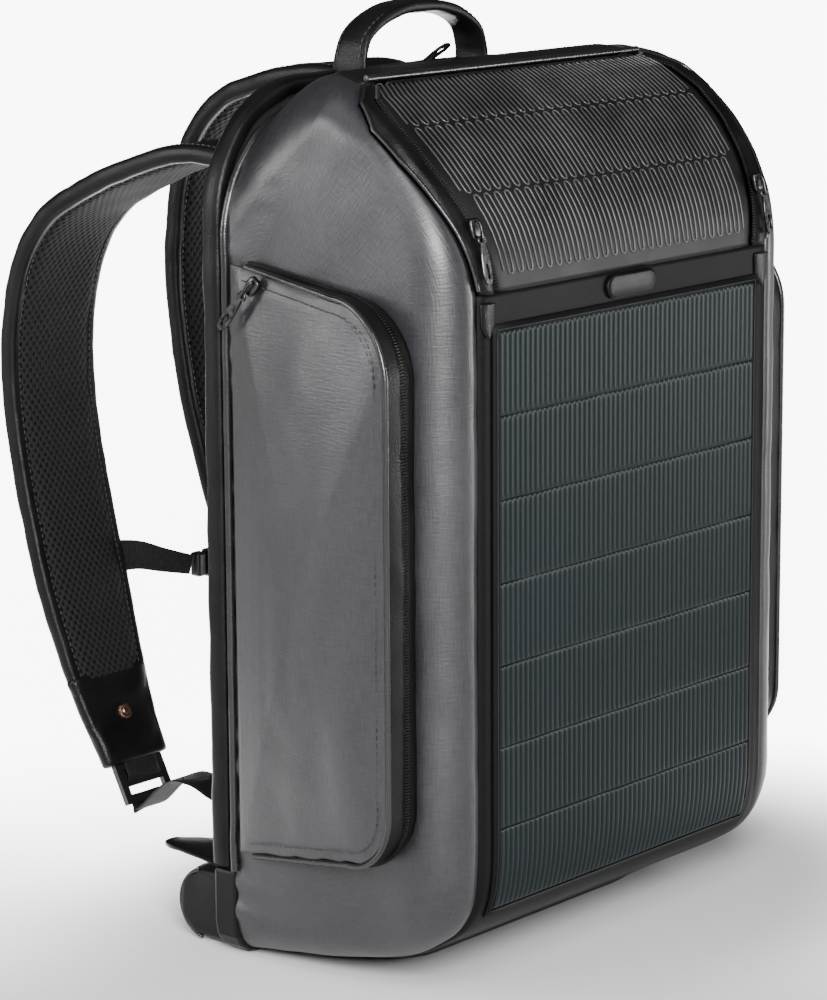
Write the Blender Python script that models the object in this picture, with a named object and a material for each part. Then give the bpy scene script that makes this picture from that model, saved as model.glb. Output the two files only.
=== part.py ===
"""Solar backpack: a clamshell bag with a solar front, a zipped top flap, side pockets and padded straps.

Metres, +Z up, the solar front faces -Y, the wearer's left is -X. The origin lies on the floor, under the
bag's flat base. Every named object is one sewn, moulded or metal piece. Pieces that move are parented to an
empty on their joint's axis.
"""

import math

import bmesh
import bpy
from mathutils import Vector

# ---------------------------------------------------------------- driving dimensions
HALF_WIDTH = 0.149          # side fabric, from the middle
FRONT_Y = -0.082            # solar face
SEAM_Y = 0.067              # rear rim of the shell, where the main zip starts
BOARD_Y = 0.0725            # front face of the back board
BACK_Y = 0.084              # rear face of the back board
BACK_TOP = 0.470            # top of the back board
BACK_CORNER = 0.072         # its top corner radius
BASE_CORNER = 0.018         # its bottom corner radius
FOLD_Z = 0.050              # where the main zip ends and the back panel folds
FABRIC = 0.0030             # laminated fabric and its foam
GAP = 0.0005                # each side of a seam between sewn neighbours

# (y, z) of the base in front of its flat part, up to the front
BASE_RISE = [(-0.010, 0.0), (-0.019, 0.0070), (-0.029, 0.0130), (-0.042, 0.0200), (-0.056, 0.0275),
             (-0.070, 0.037), (-0.079, 0.052), (FRONT_Y, 0.072)]
SIDE_LIFT = (0.003, 0.0055, 0.0125, 0.008, 0.004)   # how far the base's side edges curl up, from its rear row
FLAT_HALF = 0.080           # half width of the base's flat middle
HINGE_Z = 0.372             # fold line of the top flap

PANEL_HALF = 0.1245         # black front panel
CELL_ROWS = 7
CELL_PITCH = 0.0433
SOLAR_HALF = 0.1102
SOLAR_TOP = 0.3525

POCKET_REAR_Y = 0.060
POCKET_FRONT_Y = -0.060
POCKET_LOW_Z = 0.062        # heights at its rear edge
POCKET_HIGH_Z = 0.380
POCKET_SLOPE = 0.13         # fall of its top edge per metre towards the front
POCKET_RISE = 0.17          # rise of its bottom edge per metre towards the front
POCKET_DEPTH = 0.022        # how far its front edge stands off the side
POCKET_CROWN = 0.010

STRAP_X = 0.060             # middle of each shoulder strap
STRAP_WIDTH = 0.066
STRAP_THICK = 0.012
ANCHOR_Y = 0.0930           # top anchor, where the strap swings
ANCHOR_Z = 0.410

LEFT, RIGHT = -1, 1
SIDE_NAMES = {LEFT: "left", RIGHT: "right"}


# ---------------------------------------------------------------- materials
def material(name, colour, roughness, metallic=0.0):
    made = bpy.data.materials.new(name)
    made.use_nodes = True
    shader = made.node_tree.nodes["Principled BSDF"]
    shader.inputs["Base Color"].default_value = (*colour, 1.0)
    shader.inputs["Roughness"].default_value = roughness
    shader.inputs["Metallic"].default_value = metallic
    return made


for leftover in list(bpy.data.objects):
    bpy.data.objects.remove(leftover, do_unlink=True)

GREY_FABRIC = material("grey_fabric", (0.10, 0.10, 0.11), 0.6)
BLACK_FABRIC = material("black_fabric", (0.02, 0.02, 0.02), 0.7)
LEATHERETTE = material("black_leatherette", (0.02, 0.02, 0.02), 0.45)
SPACER_MESH = material("spacer_mesh", (0.015, 0.015, 0.017), 0.9)
WEBBING = material("webbing", (0.015, 0.015, 0.015), 0.8)
CELL = material("solar_cell", (0.02, 0.05, 0.06), 0.35)
CLEAR_FILM = material("clear_film", (0.05, 0.08, 0.09), 0.2)
PLASTIC = material("black_plastic", (0.02, 0.02, 0.02), 0.35)
METAL = material("gunmetal", (0.30, 0.30, 0.31), 0.3, 1.0)
LINING = material("grey_lining", (0.12, 0.12, 0.13), 0.8)


# ---------------------------------------------------------------- small modelling tools
def smooth(obj, angle=35):
    obj.data.shade_smooth()
    obj.data.set_sharp_from_angle(angle=math.radians(angle))
    return obj


def place(name, mesh, surface, parent=None):
    """Links a mesh made in world coordinates, with its parent's place taken out again."""
    obj = bpy.data.objects.new(name, mesh)
    bpy.context.scene.collection.objects.link(obj)
    obj.data.materials.append(surface)
    if parent:
        obj.parent = parent
        obj.matrix_parent_inverse = parent.matrix_world.inverted()
    return smooth(obj)


def axis_empty(name, location, parent=None):
    """The empty that carries a moving body, on its joint's axis."""
    empty = bpy.data.objects.new(name, None)
    bpy.context.scene.collection.objects.link(empty)
    empty.location = location
    if parent:
        empty.parent = parent
        empty.location = Vector(location) - parent.matrix_world.translation
    bpy.context.view_layer.update()
    return empty


def finished_mesh(name, bm):
    bmesh.ops.remove_doubles(bm, verts=bm.verts, dist=1e-5)
    bmesh.ops.recalc_face_normals(bm, faces=bm.faces)
    mesh = bpy.data.meshes.new(name)
    bm.to_mesh(mesh)
    bm.free()
    return mesh


def sheet(name, rows, thickness, surface, outward, parent=None):
    """A sewn panel: a grid of points on its outer face, thickened inwards.

    outward is a rough direction out of the bag.
    """
    bm = bmesh.new()
    grid = [[bm.verts.new(point) for point in row] for row in rows]
    for lower, upper in zip(grid, grid[1:]):
        for i in range(len(lower) - 1):
            bm.faces.new((lower[i], lower[i + 1], upper[i + 1], upper[i]))
    bmesh.ops.remove_doubles(bm, verts=bm.verts, dist=1e-5)
    bmesh.ops.recalc_face_normals(bm, faces=bm.faces)
    faced = sum((f.normal * f.calc_area() for f in bm.faces), Vector())
    if faced.dot(Vector(outward)) < 0:
        bmesh.ops.reverse_faces(bm, faces=bm.faces)
    mesh = bpy.data.meshes.new(name)
    bm.to_mesh(mesh)
    bm.free()
    obj = place(name, mesh, surface, parent)
    thicken = obj.modifiers.new("thickness", "SOLIDIFY")
    thicken.thickness = thickness
    thicken.offset = -1
    return obj


def prism(name, outline, axis, low, high, surface, parent=None, bevel=0.0):
    """A flat piece: an outline in the plane across axis, drawn out from low to high.

    The outline's pairs are (y, z) across X, (x, z) across Y and (x, y) across Z.
    """
    def point(pair, depth):
        a, b = pair
        return {"X": (depth, a, b), "Y": (a, depth, b), "Z": (a, b, depth)}[axis]

    bm = bmesh.new()
    near = [bm.verts.new(point(p, low)) for p in outline]
    far = [bm.verts.new(point(p, high)) for p in outline]
    bm.faces.new(near)
    bm.faces.new(far[::-1])
    for i in range(len(outline)):
        j = (i + 1) % len(outline)
        bm.faces.new((near[i], near[j], far[j], far[i]))
    obj = place(name, finished_mesh(name, bm), surface, parent)
    if bevel:
        rounded = obj.modifiers.new("edges", "BEVEL")
        rounded.width = bevel
        rounded.segments = 2
        rounded.angle_limit = math.radians(40)
    return obj


def block(name, low, high, surface, parent=None, bevel=0.0):
    outline = [(low[0], low[1]), (high[0], low[1]), (high[0], high[1]), (low[0], high[1])]
    return prism(name, outline, "Z", low[2], high[2], surface, parent, bevel)


def ribbon(name, centres, across, width, thickness, surface, parent=None):
    """A strap: an eight-sided flat section swept along centres.

    across gives the direction of its breadth, and width how broad it is, for all points or for each.
    """
    count = len(centres)
    widths = width if isinstance(width, list) else [width] * count
    thicks = thickness if isinstance(thickness, list) else [thickness] * count
    bm = bmesh.new()
    rings = []
    for i, centre in enumerate(centres):
        ahead = (centres[min(i + 1, count - 1)] - centres[max(i - 1, 0)]).normalized()
        side = across[i] if isinstance(across, list) else across
        side = (side - ahead * side.dot(ahead)).normalized()
        up = side.cross(ahead).normalized()
        w, t = widths[i] / 2, thicks[i] / 2
        c = min(w, t) * 0.6
        corners = [(w, t - c), (w - c, t), (c - w, t), (-w, t - c),
                   (-w, c - t), (c - w, -t), (w - c, -t), (w, c - t)]
        rings.append([bm.verts.new(centre + side * a + up * b) for a, b in corners])
    for first, second in zip(rings, rings[1:]):
        for i in range(8):
            j = (i + 1) % 8
            bm.faces.new((first[i], first[j], second[j], second[i]))
    bm.faces.new(rings[0])
    bm.faces.new(rings[-1][::-1])
    return place(name, finished_mesh(name, bm), surface, parent)


def spline(points, steps):
    """A smooth curve through the points, steps pieces between each two (Catmull-Rom)."""
    pts = [Vector(p) for p in points]
    pts = [2 * pts[0] - pts[1], *pts, 2 * pts[-1] - pts[-2]]
    made = []
    for a, b, c, d in zip(pts, pts[1:], pts[2:], pts[3:]):
        for k in range(steps):
            t = k / steps
            bend = (2 * a - 5 * b + 4 * c - d) * t**2 + (3 * b - a - 3 * c + d) * t**3
            made.append(0.5 * (2 * b + (c - a) * t + bend))
    return [*made, pts[-2]]


def arc(centre, radius, start, end, steps):
    """Points of an arc in the plane, angles in degrees."""
    made = []
    for k in range(steps + 1):
        angle = math.radians(start + (end - start) * k / steps)
        made.append((centre[0] + radius * math.cos(angle), centre[1] + radius * math.sin(angle)))
    return made


def cut(target, name, low, high):
    """Cuts a rectangular hole or slot in target."""
    cutter = block(name, low, high, PLASTIC)
    cutter.hide_render = True
    cutter.display_type = "WIRE"
    hole = target.modifiers.new(name, "BOOLEAN")
    hole.operation = "DIFFERENCE"
    hole.object = cutter


# ---------------------------------------------------------------- the bag's skin
def side_profile():
    """(y, z, edge radius) along the middle of the bag: base, front, flap, ridge, down to the rear rim."""
    made = [(SEAM_Y, 0.0, 0.020), (0.043, 0.0, 0.020)]
    made += [(y, z, 0.020 + 0.005 * k / 7) for k, (y, z) in enumerate(BASE_RISE)]
    made += [(FRONT_Y, z, 0.025) for z in (0.14, 0.22, 0.30, HINGE_Z)]
    made += [(-0.0805, 0.388, 0.024), (-0.075, 0.404, 0.021), (-0.064, 0.421, 0.018), (-0.048, 0.440, 0.016),
             (-0.031, 0.455, 0.016), (-0.016, 0.466, 0.018), (-0.002, 0.4735, 0.022)]
    made += [(0.022, 0.4785, 0.042), (0.045, 0.4710, 0.056), (SEAM_Y, 0.457, 0.069)]
    return made


PROFILE = side_profile()
FRONT_ROW = 5               # the row of PROFILE where the base panel meets the front panel
HINGE_ROW = 13              # the flap's fold line
RIDGE_ROW = 20              # the flap's rear edge
LAST_ROW = len(PROFILE) - 1


# half widths between the side panels, from the fold line back
UPPER_SEAM = (PANEL_HALF, 0.128, 0.132, 0.137, 0.1415, 0.1425, 0.136, 0.118, 0.112, 0.105, 0.098)


def profile_normal(row):
    """Outward normal (y, z) of the profile at a row."""
    if row == 0:
        return Vector((0, -1))
    if row > RIDGE_ROW:
        return Vector((0, 1))
    before, after = PROFILE[row - 1], PROFILE[row + 1]
    along = Vector((after[0] - before[0], after[1] - before[1])).normalized()
    return Vector((-along.y, along.x))


def side_curl(row, x):
    """How far the base rises at a distance x from the middle."""
    if row >= len(SIDE_LIFT) or abs(x) <= FLAT_HALF:
        return 0.0
    share = min(1.0, (abs(x) - FLAT_HALF) / (HALF_WIDTH - PROFILE[row][2] - FLAT_HALF))
    return SIDE_LIFT[row] * share**1.4


def skin(row, x, lift=0.0):
    """The bag's outer surface at a profile row and a distance x from the middle, lifted outwards by lift."""
    y, z, radius = PROFILE[row]
    normal = profile_normal(row)
    flat = HALF_WIDTH - radius
    turn = math.asin(min(1.0, max(0.0, (abs(x) - flat) / radius)))
    inset = radius * (1 - math.cos(turn)) - lift
    return Vector((x, y - normal.x * inset, z - normal.y * inset + side_curl(row, x)))


def seam_half(row):
    """Distance from the middle of the seam between the side panel and its neighbour."""
    if row < HINGE_ROW:
        return max(PANEL_HALF, HALF_WIDTH - PROFILE[row][2])
    return UPPER_SEAM[row - HINGE_ROW]


def flap_half(row):
    """Half width of the top flap, inside its zip band."""
    return seam_half(row) - 0.0145 + 0.002 * max(0, row - 18)


CURVED = (0, 0.035, 0.09, 0.18, 0.34, 0.66, 0.82, 0.91, 0.965, 1)    # columns of a panel with rounded edges
CURLED = (0, 0.06, 0.12, 0.188, 0.812, 0.88, 0.94, 1)                # columns of the base, flat in the middle


def side_panel(side):
    """Grey side: the rounded edge from the front and top seams, then flat to the rear rim."""
    bottom, top = PROFILE[0][2] + SIDE_LIFT[0], PROFILE[-1][1] - PROFILE[-1][2]
    rows = []
    for row in range(LAST_ROW + 1):
        radius = PROFILE[row][2]
        flat = HALF_WIDTH - radius
        start = math.asin((seam_half(row) + GAP - flat) / radius)
        turns = [start + (math.pi / 2 - start) * k / 4 for k in range(5)]
        points = [skin(row, flat + radius * math.sin(turn)) for turn in turns]
        rim = Vector((HALF_WIDTH, SEAM_Y, bottom + (top - bottom) * row / LAST_ROW))
        points += [points[-1].lerp(rim, 0.5), rim]
        rows.append([Vector((side * p.x, p.y, p.z)) for p in points])
    sheet(f"side_panel_{SIDE_NAMES[side]}", rows, FABRIC, GREY_FABRIC, (side, 0, 0))


def across(name, first, last, low, high, thickness, surface, outward, parent=None,
           columns=(0, 0.5, 1), trim=GAP):
    """A panel over the profile rows first to last, between the side distances low and high give for a row.

    columns holds where its points lie between the two. trim is cut off its last row, and a seam's gap off
    its first.
    """
    rows = []
    for row in range(first, last + 1):
        a, b = low(row), high(row)
        rows.append([skin(row, a + (b - a) * k) for k in columns])
    for end, inner, short in ((0, 1, GAP), (-1, -2, trim)):
        rows[end] = [p + (q - p).normalized() * short for p, q in zip(rows[end], rows[inner])]
    return sheet(name, rows, thickness, surface, outward, parent)


def arch(half, top, corner, low, steps=6):
    """An arch outline (x, z) from its left foot over the top to its right foot."""
    right = arc((half - corner, top - corner), corner, 0, 90, steps)
    left = [(-x, z) for x, z in reversed(right)]
    return [(half, low), *right, *left, (-half, low)]


def arch_band(name, outer, inner, low, near, far, surface, parent=None, bevel=0.0):
    """A band round the rear rim between two arches, each (half width, top, corner radius)."""
    outline = arch(*outer, low) + arch(*inner, low)[::-1]
    return prism(name, outline, "Y", near, far, surface, parent, bevel)


def shell():
    """The fixed, sewn body of the bag."""
    for side in (LEFT, RIGHT):
        side_panel(side)

    def left(row):
        return GAP - seam_half(row)

    def right(row):
        return seam_half(row) - GAP

    across("base_panel", 0, FRONT_ROW, left, right, FABRIC, BLACK_FABRIC, (0, 0, -1), columns=CURLED)
    across("front_panel", FRONT_ROW, HINGE_ROW, left, right, 0.0025, BLACK_FABRIC, (0, -1, 0))
    across("top_gusset", RIDGE_ROW, LAST_ROW, left, right, FABRIC, BLACK_FABRIC, (0, 0, 1), columns=CURVED)
    rim = (HALF_WIDTH, 0.457, 0.069)
    inside = (HALF_WIDTH - 0.007, 0.450, 0.062)
    arch_band("main_zip", rim, inside, FOLD_Z, SEAM_Y + 0.0006, BOARD_Y - 0.0006, LEATHERETTE)
    corner = arc((HALF_WIDTH - BASE_CORNER, BASE_CORNER), BASE_CORNER, -90, 0, 4)
    outline = [*corner, (HALF_WIDTH, FOLD_Z - 0.001), (-HALF_WIDTH, FOLD_Z - 0.001)]
    outline += [(-x, z) for x, z in reversed(corner)]
    prism("lower_back_panel", outline, "Y", SEAM_Y + 0.0006, BACK_Y, LEATHERETTE, bevel=0.002)
    divider = [(-0.134, 0.034), (0.134, 0.034), (0.134, 0.330), (-0.134, 0.330)]
    prism("compartment_divider", divider, "Y", -0.028, -0.025, LINING)


# ---------------------------------------------------------------- front and solar module
def front_face(z, x, lift):
    """A point lifted off the front at a height z, following the curve at its foot."""
    rows = range(FRONT_ROW, HINGE_ROW)
    row = max(r for r in rows if PROFILE[r][1] <= z)
    (y0, z0, _), (y1, z1, _) = PROFILE[row], PROFILE[row + 1]
    part = (z - z0) / (z1 - z0)
    normal = profile_normal(row).lerp(profile_normal(row + 1), part).normalized()
    return Vector((x, y0 + (y1 - y0) * part + normal.x * lift, z + normal.y * lift))


def front_layer(name, half, low, high, lift, thickness, surface):
    """A thin layer on the front panel between two heights, its outer face lifted off the fabric by lift."""
    heights = sorted({low, high, *(z for _, z in BASE_RISE if low < z < high)})
    rows = [[front_face(z, x, lift) for x in (-half, 0, half)] for z in heights]
    return sheet(name, rows, thickness, surface, (0, -1, 0))


def solar_module():
    """The thin-film module on the front: a backing, one strip of cells per row and a clear film."""
    low = SOLAR_TOP - CELL_ROWS * CELL_PITCH
    front_layer("solar_backing", SOLAR_HALF + 0.004, low - 0.004, SOLAR_TOP + 0.004, 0.0014, 0.0009,
                BLACK_FABRIC)
    for row in range(CELL_ROWS):
        top = SOLAR_TOP - row * CELL_PITCH - 0.0006
        foot = top - CELL_PITCH + 0.0012
        front_layer(f"solar_cell_row_{row + 1}", SOLAR_HALF, foot, top, 0.0022, 0.0005, CELL)
    front_layer("solar_clear_film", SOLAR_HALF + 0.003, low - 0.003, SOLAR_TOP + 0.003, 0.0030, 0.0005,
                CLEAR_FILM)
    pill = arc((0.0145, 0.3645), 0.0065, -90, 90, 5) + arc((-0.0145, 0.3645), 0.0065, 90, 270, 5)
    prism("front_badge", pill, "Y", FRONT_Y - 0.0024, FRONT_Y - 0.0004, PLASTIC)
    inside = FRONT_Y + 0.0029
    block("charge_regulator", (-0.035, inside, 0.250), (0.035, inside + 0.012, 0.295), PLASTIC, bevel=0.003)
    block("usb_port", (-0.009, inside + 0.001, 0.236), (0.009, inside + 0.010, 0.2494), PLASTIC, bevel=0.0015)


# ---------------------------------------------------------------- zips
def zip_pull(name, pivot, length, outward, body_name, parent=None, down=Vector((0, 0, -1))):
    """A slider body with a hinged pull tab, which hangs along down. outward is the face normal it lies on."""
    outward, down = Vector(outward).normalized(), Vector(down).normalized()
    down = (down - outward * down.dot(outward)).normalized()
    beside = down.cross(outward).normalized()
    pivot = Vector(pivot)
    slider = bmesh.new()
    bmesh.ops.create_cube(slider, size=1.0)
    for vert in slider.verts:
        taper = 1.0 if vert.co.y > 0 else 0.72
        vert.co = pivot + beside * vert.co.x * 0.008 * taper - down * vert.co.y * 0.011 + outward * (vert.co.z * 0.004)
    place(name + "_slider", finished_mesh(name + "_slider", slider), METAL, parent)
    hinge_at = pivot + outward * 0.0035 + down * 0.0065
    empty = axis_empty(body_name, hinge_at, parent)
    tab = bmesh.new()
    outline = [(-0.0022, 0.0), (0.0022, 0.0), (0.0034, length * 0.75),
               (0.0024, length), (-0.0024, length), (-0.0034, length * 0.75)]
    hole = [(x * 0.45, length * 0.55 + (y - length * 0.5) * 0.55) for x, y in outline]
    rings = []
    for pts, depth in ((outline, -0.0007), (outline, 0.0007), (hole, 0.0007), (hole, -0.0007)):
        level = hinge_at + outward * depth
        rings.append([tab.verts.new(level + beside * x + down * y) for x, y in pts])
    for first, second in zip(rings, [*rings[1:], rings[0]]):
        for i in range(6):
            j = (i + 1) % 6
            tab.faces.new((first[i], first[j], second[j], second[i]))
    place(name + "_pull", finished_mesh(name + "_pull", tab), METAL, empty)


# ---------------------------------------------------------------- top flap
def top_flap():
    """The embossed lid of the front pocket. It folds forward about its lower edge."""
    flap = axis_empty("top_flap_axis", (0, FRONT_Y, HINGE_Z))

    def inner(row):
        return flap_half(row) + 2 * GAP

    def outer(row):
        return seam_half(row) - 2 * GAP

    across("top_flap", HINGE_ROW, RIDGE_ROW, lambda row: -flap_half(row), flap_half, 0.004, BLACK_FABRIC,
           (0, -1, 1), flap, columns=CURVED, trim=0.0032)
    across("flap_zip_right", HINGE_ROW, RIDGE_ROW, inner, outer, 0.0022, LEATHERETTE,
           (0.5, -1, 1), flap, columns=(0, 0.3, 0.6, 0.8, 1), trim=0.0032)
    across("flap_zip_left", HINGE_ROW, RIDGE_ROW, lambda row: -outer(row), lambda row: -inner(row), 0.0022,
           LEATHERETTE, (-0.5, -1, 1), flap, columns=(0, 0.2, 0.4, 0.7, 1), trim=0.0032)
    for side in (LEFT, RIGHT):
        label = SIDE_NAMES[side]
        spot = skin(HINGE_ROW + 2, side * 0.1215, lift=0.0030)
        zip_pull(f"flap_zip_{label}", spot, 0.022, (0, -1, 0.22), f"flap_pull_{label}_axis", flap)


# ---------------------------------------------------------------- side pockets
def pocket_outline(corner_steps=5):
    """(y, z) round the pocket, from its rear top corner, forward, down and back to its rear bottom corner."""
    front, rear = POCKET_FRONT_Y, POCKET_REAR_Y

    def top(y):
        return POCKET_HIGH_Z - POCKET_SLOPE * (rear - y)

    def low(y):
        return POCKET_LOW_Z + POCKET_RISE * (rear - y)

    r_top, r_low = 0.040, 0.032
    fall, rise = math.degrees(math.atan(POCKET_SLOPE)), math.degrees(math.atan(POCKET_RISE))
    upper = arc((front + r_top, top(front + r_top) - r_top), r_top, 90 + fall, 180, corner_steps)
    lower = arc((front + r_low, low(front + r_low) + r_low), r_low, 180, 270 - rise, corner_steps)
    top_edge = [(rear, top(rear)), (0.022, top(0.022))]
    low_edge = [(0.020, low(0.020)), (rear, low(rear))]
    return [*top_edge, *upper, (front, 0.21), *lower, *low_edge]


def pocket_stand(y):
    """How far the pocket's outer face stands off the side at a distance y."""
    share = (POCKET_REAR_Y - y) / (POCKET_REAR_Y - POCKET_FRONT_Y)
    return 0.0040 + (POCKET_DEPTH - 0.0040) * share


def side_pocket(side):
    """A zipped pocket: a crowned panel on a wedge-shaped zip wall. It opens about its rear edge."""
    label = SIDE_NAMES[side]
    pocket = axis_empty(f"pocket_{label}_axis", (side * (HALF_WIDTH + 0.002), POCKET_REAR_Y, 0.21))
    outline = pocket_outline()
    middle = Vector((-0.002, 0.222))
    rows = []
    for scale in (1.0, 0.93, 0.75, 0.4, 0.0):
        ring = [middle + (Vector(p) - middle) * scale for p in outline]
        rise = POCKET_CROWN * (1 - scale**2.4) * (1 if scale < 1 else 0)
        ring.append(ring[0])
        rows.append([Vector((side * (HALF_WIDTH + pocket_stand(p.x) + rise), p.x, p.y)) for p in ring])
    sheet(f"pocket_panel_{label}", rows, 0.0028, GREY_FABRIC, (side, 0, 0), pocket)
    wall = [p for p in outline if p[0] < POCKET_REAR_Y]
    rear_y = 0.047
    back_off = POCKET_REAR_Y - rear_y
    wall.insert(0, (rear_y, outline[0][1] - POCKET_SLOPE * back_off))
    wall.append((rear_y, outline[-1][1] + POCKET_RISE * back_off))
    foot = [Vector((side * (HALF_WIDTH + 0.0006), y, z)) for y, z in wall]
    rim = [Vector((side * (HALF_WIDTH + pocket_stand(y) - 0.0032), y, z)) for y, z in wall]
    sheet(f"pocket_zip_{label}", [foot, rim], 0.003, LEATHERETTE, (0, -1, 0), pocket)
    top_y = 0.038
    top_z = POCKET_HIGH_Z - POCKET_SLOPE * (POCKET_REAR_Y - top_y)
    spot = (side * (HALF_WIDTH + pocket_stand(top_y) + 0.0045), top_y, top_z - 0.007)
    zip_pull(f"pocket_{label}", spot, 0.024, (side, 0, 0), f"pocket_pull_{label}_axis", pocket,
             down=(0, 0.65, -0.75))


# ---------------------------------------------------------------- carry handle and main zip
def handle():
    """A padded loop over the rear rim, and the main zip's slider under it."""
    foot_y, foot_z = 0.0665, 0.4785
    axis = axis_empty("handle_axis", (0, foot_y, foot_z))
    half_arch = [(-0.050, 0.0), (-0.0445, 0.0115), (-0.0265, 0.0210)]
    arch_points = [*half_arch, (0.0, 0.0245), *[(-x, rise) for x, rise in reversed(half_arch)]]
    path = spline([(x, foot_y, foot_z + rise) for x, rise in arch_points], 3)
    ribbon("carry_handle", path, Vector((0, 1, 0)), 0.020, 0.007, LEATHERETTE, axis)
    zip_pull("main_zip", (0.004, 0.0680, 0.4640), 0.026, (-0.42, 0, 1), "main_pull_axis", down=(1, 0, 0.42))


# ---------------------------------------------------------------- back panel
def back_panel():
    """The hinged back: board, binding, two air-flow pads and the laptop sleeve on its inner face."""
    back = axis_empty("back_axis", (0, BACK_Y, FOLD_Z))
    board = (HALF_WIDTH - 0.0090, BACK_TOP - 0.0090, BACK_CORNER - 0.0090)
    prism("back_board", arch(*board, FOLD_Z + 0.001), "Y", BOARD_Y, BACK_Y - 0.003, BLACK_FABRIC, back)
    outer = (HALF_WIDTH, BACK_TOP, BACK_CORNER)
    inner = (HALF_WIDTH - 0.0085, BACK_TOP - 0.0085, BACK_CORNER - 0.0085)
    arch_band("back_binding", outer, inner, FOLD_Z + 0.001, BOARD_Y, BACK_Y + 0.001, LEATHERETTE, back,
              bevel=0.002)
    cut_corner = 0.014
    for side in (LEFT, RIGHT):
        low, high = sorted((side * 0.016, side * 0.118))
        low_in, high_in = low + cut_corner, high - cut_corner
        pad = [(low_in, 0.088), (high_in, 0.088), (high, 0.102), (high, 0.376),
               (high_in, 0.390), (low_in, 0.390), (low, 0.376), (low, 0.102)]
        prism(f"back_pad_{SIDE_NAMES[side]}", pad, "Y", BACK_Y - 0.0025, BACK_Y + 0.0100, SPACER_MESH, back,
              bevel=0.004)
    sleeve = [(-0.132, 0.085), (0.132, 0.085), (0.132, 0.320), (-0.132, 0.320)]
    front = prism("laptop_sleeve", sleeve, "Y", 0.0420, 0.0720, LINING, back)
    cut(front, "laptop_slot", (-0.128, 0.046, 0.089), (0.128, 0.068, 0.340))
    roll = [(BACK_Y + 0.0006, 0.0), *arc((0.1010, 0.0222), 0.0222, -90, 74, 9), (BACK_Y + 0.0006, 0.0445)]
    prism("lumbar_roll", roll, "X", -0.140, 0.140, LEATHERETTE, bevel=0.003)
    return back


# ---------------------------------------------------------------- shoulder straps
# (y, z) of each strap's middle line, from its anchor: the left one hangs low, the right one stands higher
STRAP_PATHS = {
    LEFT: [(0.0935, 0.4110), (0.122, 0.4215), (0.160, 0.4235), (0.200, 0.4120), (0.234, 0.3980),
           (0.262, 0.3820), (0.282, 0.3560), (0.293, 0.3200), (0.295, 0.2800), (0.289, 0.2350),
           (0.277, 0.1850), (0.262, 0.1350), (0.247, 0.0950), (0.231, 0.0640)],
    RIGHT: [(0.0935, 0.4110), (0.118, 0.4365), (0.149, 0.4570), (0.185, 0.4565), (0.214, 0.4495),
            (0.2385, 0.4400), (0.259, 0.4210), (0.273, 0.3920), (0.279, 0.3540), (0.2785, 0.3150),
            (0.269, 0.2590), (0.254, 0.2100), (0.240, 0.1640), (0.229, 0.1330), (0.218, 0.1050)],
}
# (x, y, z) of the webbing from the foot of the back to each ladder lock, x measured outwards
WEBBING_PATHS = {
    LEFT: [(0.094, 0.0870, 0.0600), (0.0935, 0.105, 0.0615), (0.088, 0.130, 0.0655), (0.077, 0.160, 0.0670),
           (0.067, 0.188, 0.0605), (0.060, 0.2080, 0.0490)],
    RIGHT: [(0.094, 0.0870, 0.0600), (0.0935, 0.105, 0.0640), (0.088, 0.130, 0.0730), (0.077, 0.155, 0.0840),
            (0.067, 0.177, 0.0910), (0.060, 0.1960, 0.0895)],
}
CHEST_PATH = [(-0.0260, 0.2755, 0.1720), (-0.0150, 0.2700, 0.1715), (-0.0040, 0.2600, 0.1680),
              (0.0065, 0.2480, 0.1650)]


def shoulder_strap(side, back):
    """A padded strap with its end patch, ladder lock and half of the chest strap, swinging at its anchor."""
    label = SIDE_NAMES[side]
    strap = axis_empty(f"strap_{label}_axis", (side * STRAP_X, ANCHOR_Y, ANCHOR_Z), back)
    across_strap = Vector((1, 0, 0))
    centres = spline([(side * STRAP_X, y, z) for y, z in STRAP_PATHS[side]], 2)
    count = len(centres) - 1
    widths = []
    for k in range(count + 1):
        share = k / count
        widths.append(0.052 + 0.014 * min(1, 4 * share) - 0.020 * max(0, (share - 0.80) / 0.20))
    ribbon(f"shoulder_strap_{label}", centres, across_strap, widths, STRAP_THICK, BLACK_FABRIC, strap)

    end, above = centres[-1], centres[-3]
    along = (end - above).normalized()
    outward = Vector((0, -along.z, along.y))
    patch = [p + outward * (STRAP_THICK / 2 + 0.0017) for p in centres[-4:]]
    ribbon(f"strap_patch_{label}", patch, across_strap, widths[-4:], 0.0016, LEATHERETTE, strap)
    buckle(f"ladder_lock_{label}", end + along * 0.0135, along, outward, strap)

    inner_x = STRAP_X - STRAP_WIDTH / 2 - 0.0010
    if side == LEFT:
        ribbon("chest_webbing", spline(CHEST_PATH, 2), Vector((0, 0, 1)), 0.018, 0.0018, WEBBING, strap)
        block("chest_clip_plug", (0.0085, 0.2425, 0.1575), (0.0158, 0.2500, 0.1720), PLASTIC, strap,
              bevel=0.0012)
    else:
        block("chest_clip_socket", (0.0163, 0.2390, 0.1565), (inner_x, 0.2485, 0.1730), PLASTIC, strap,
              bevel=0.0012)


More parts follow.
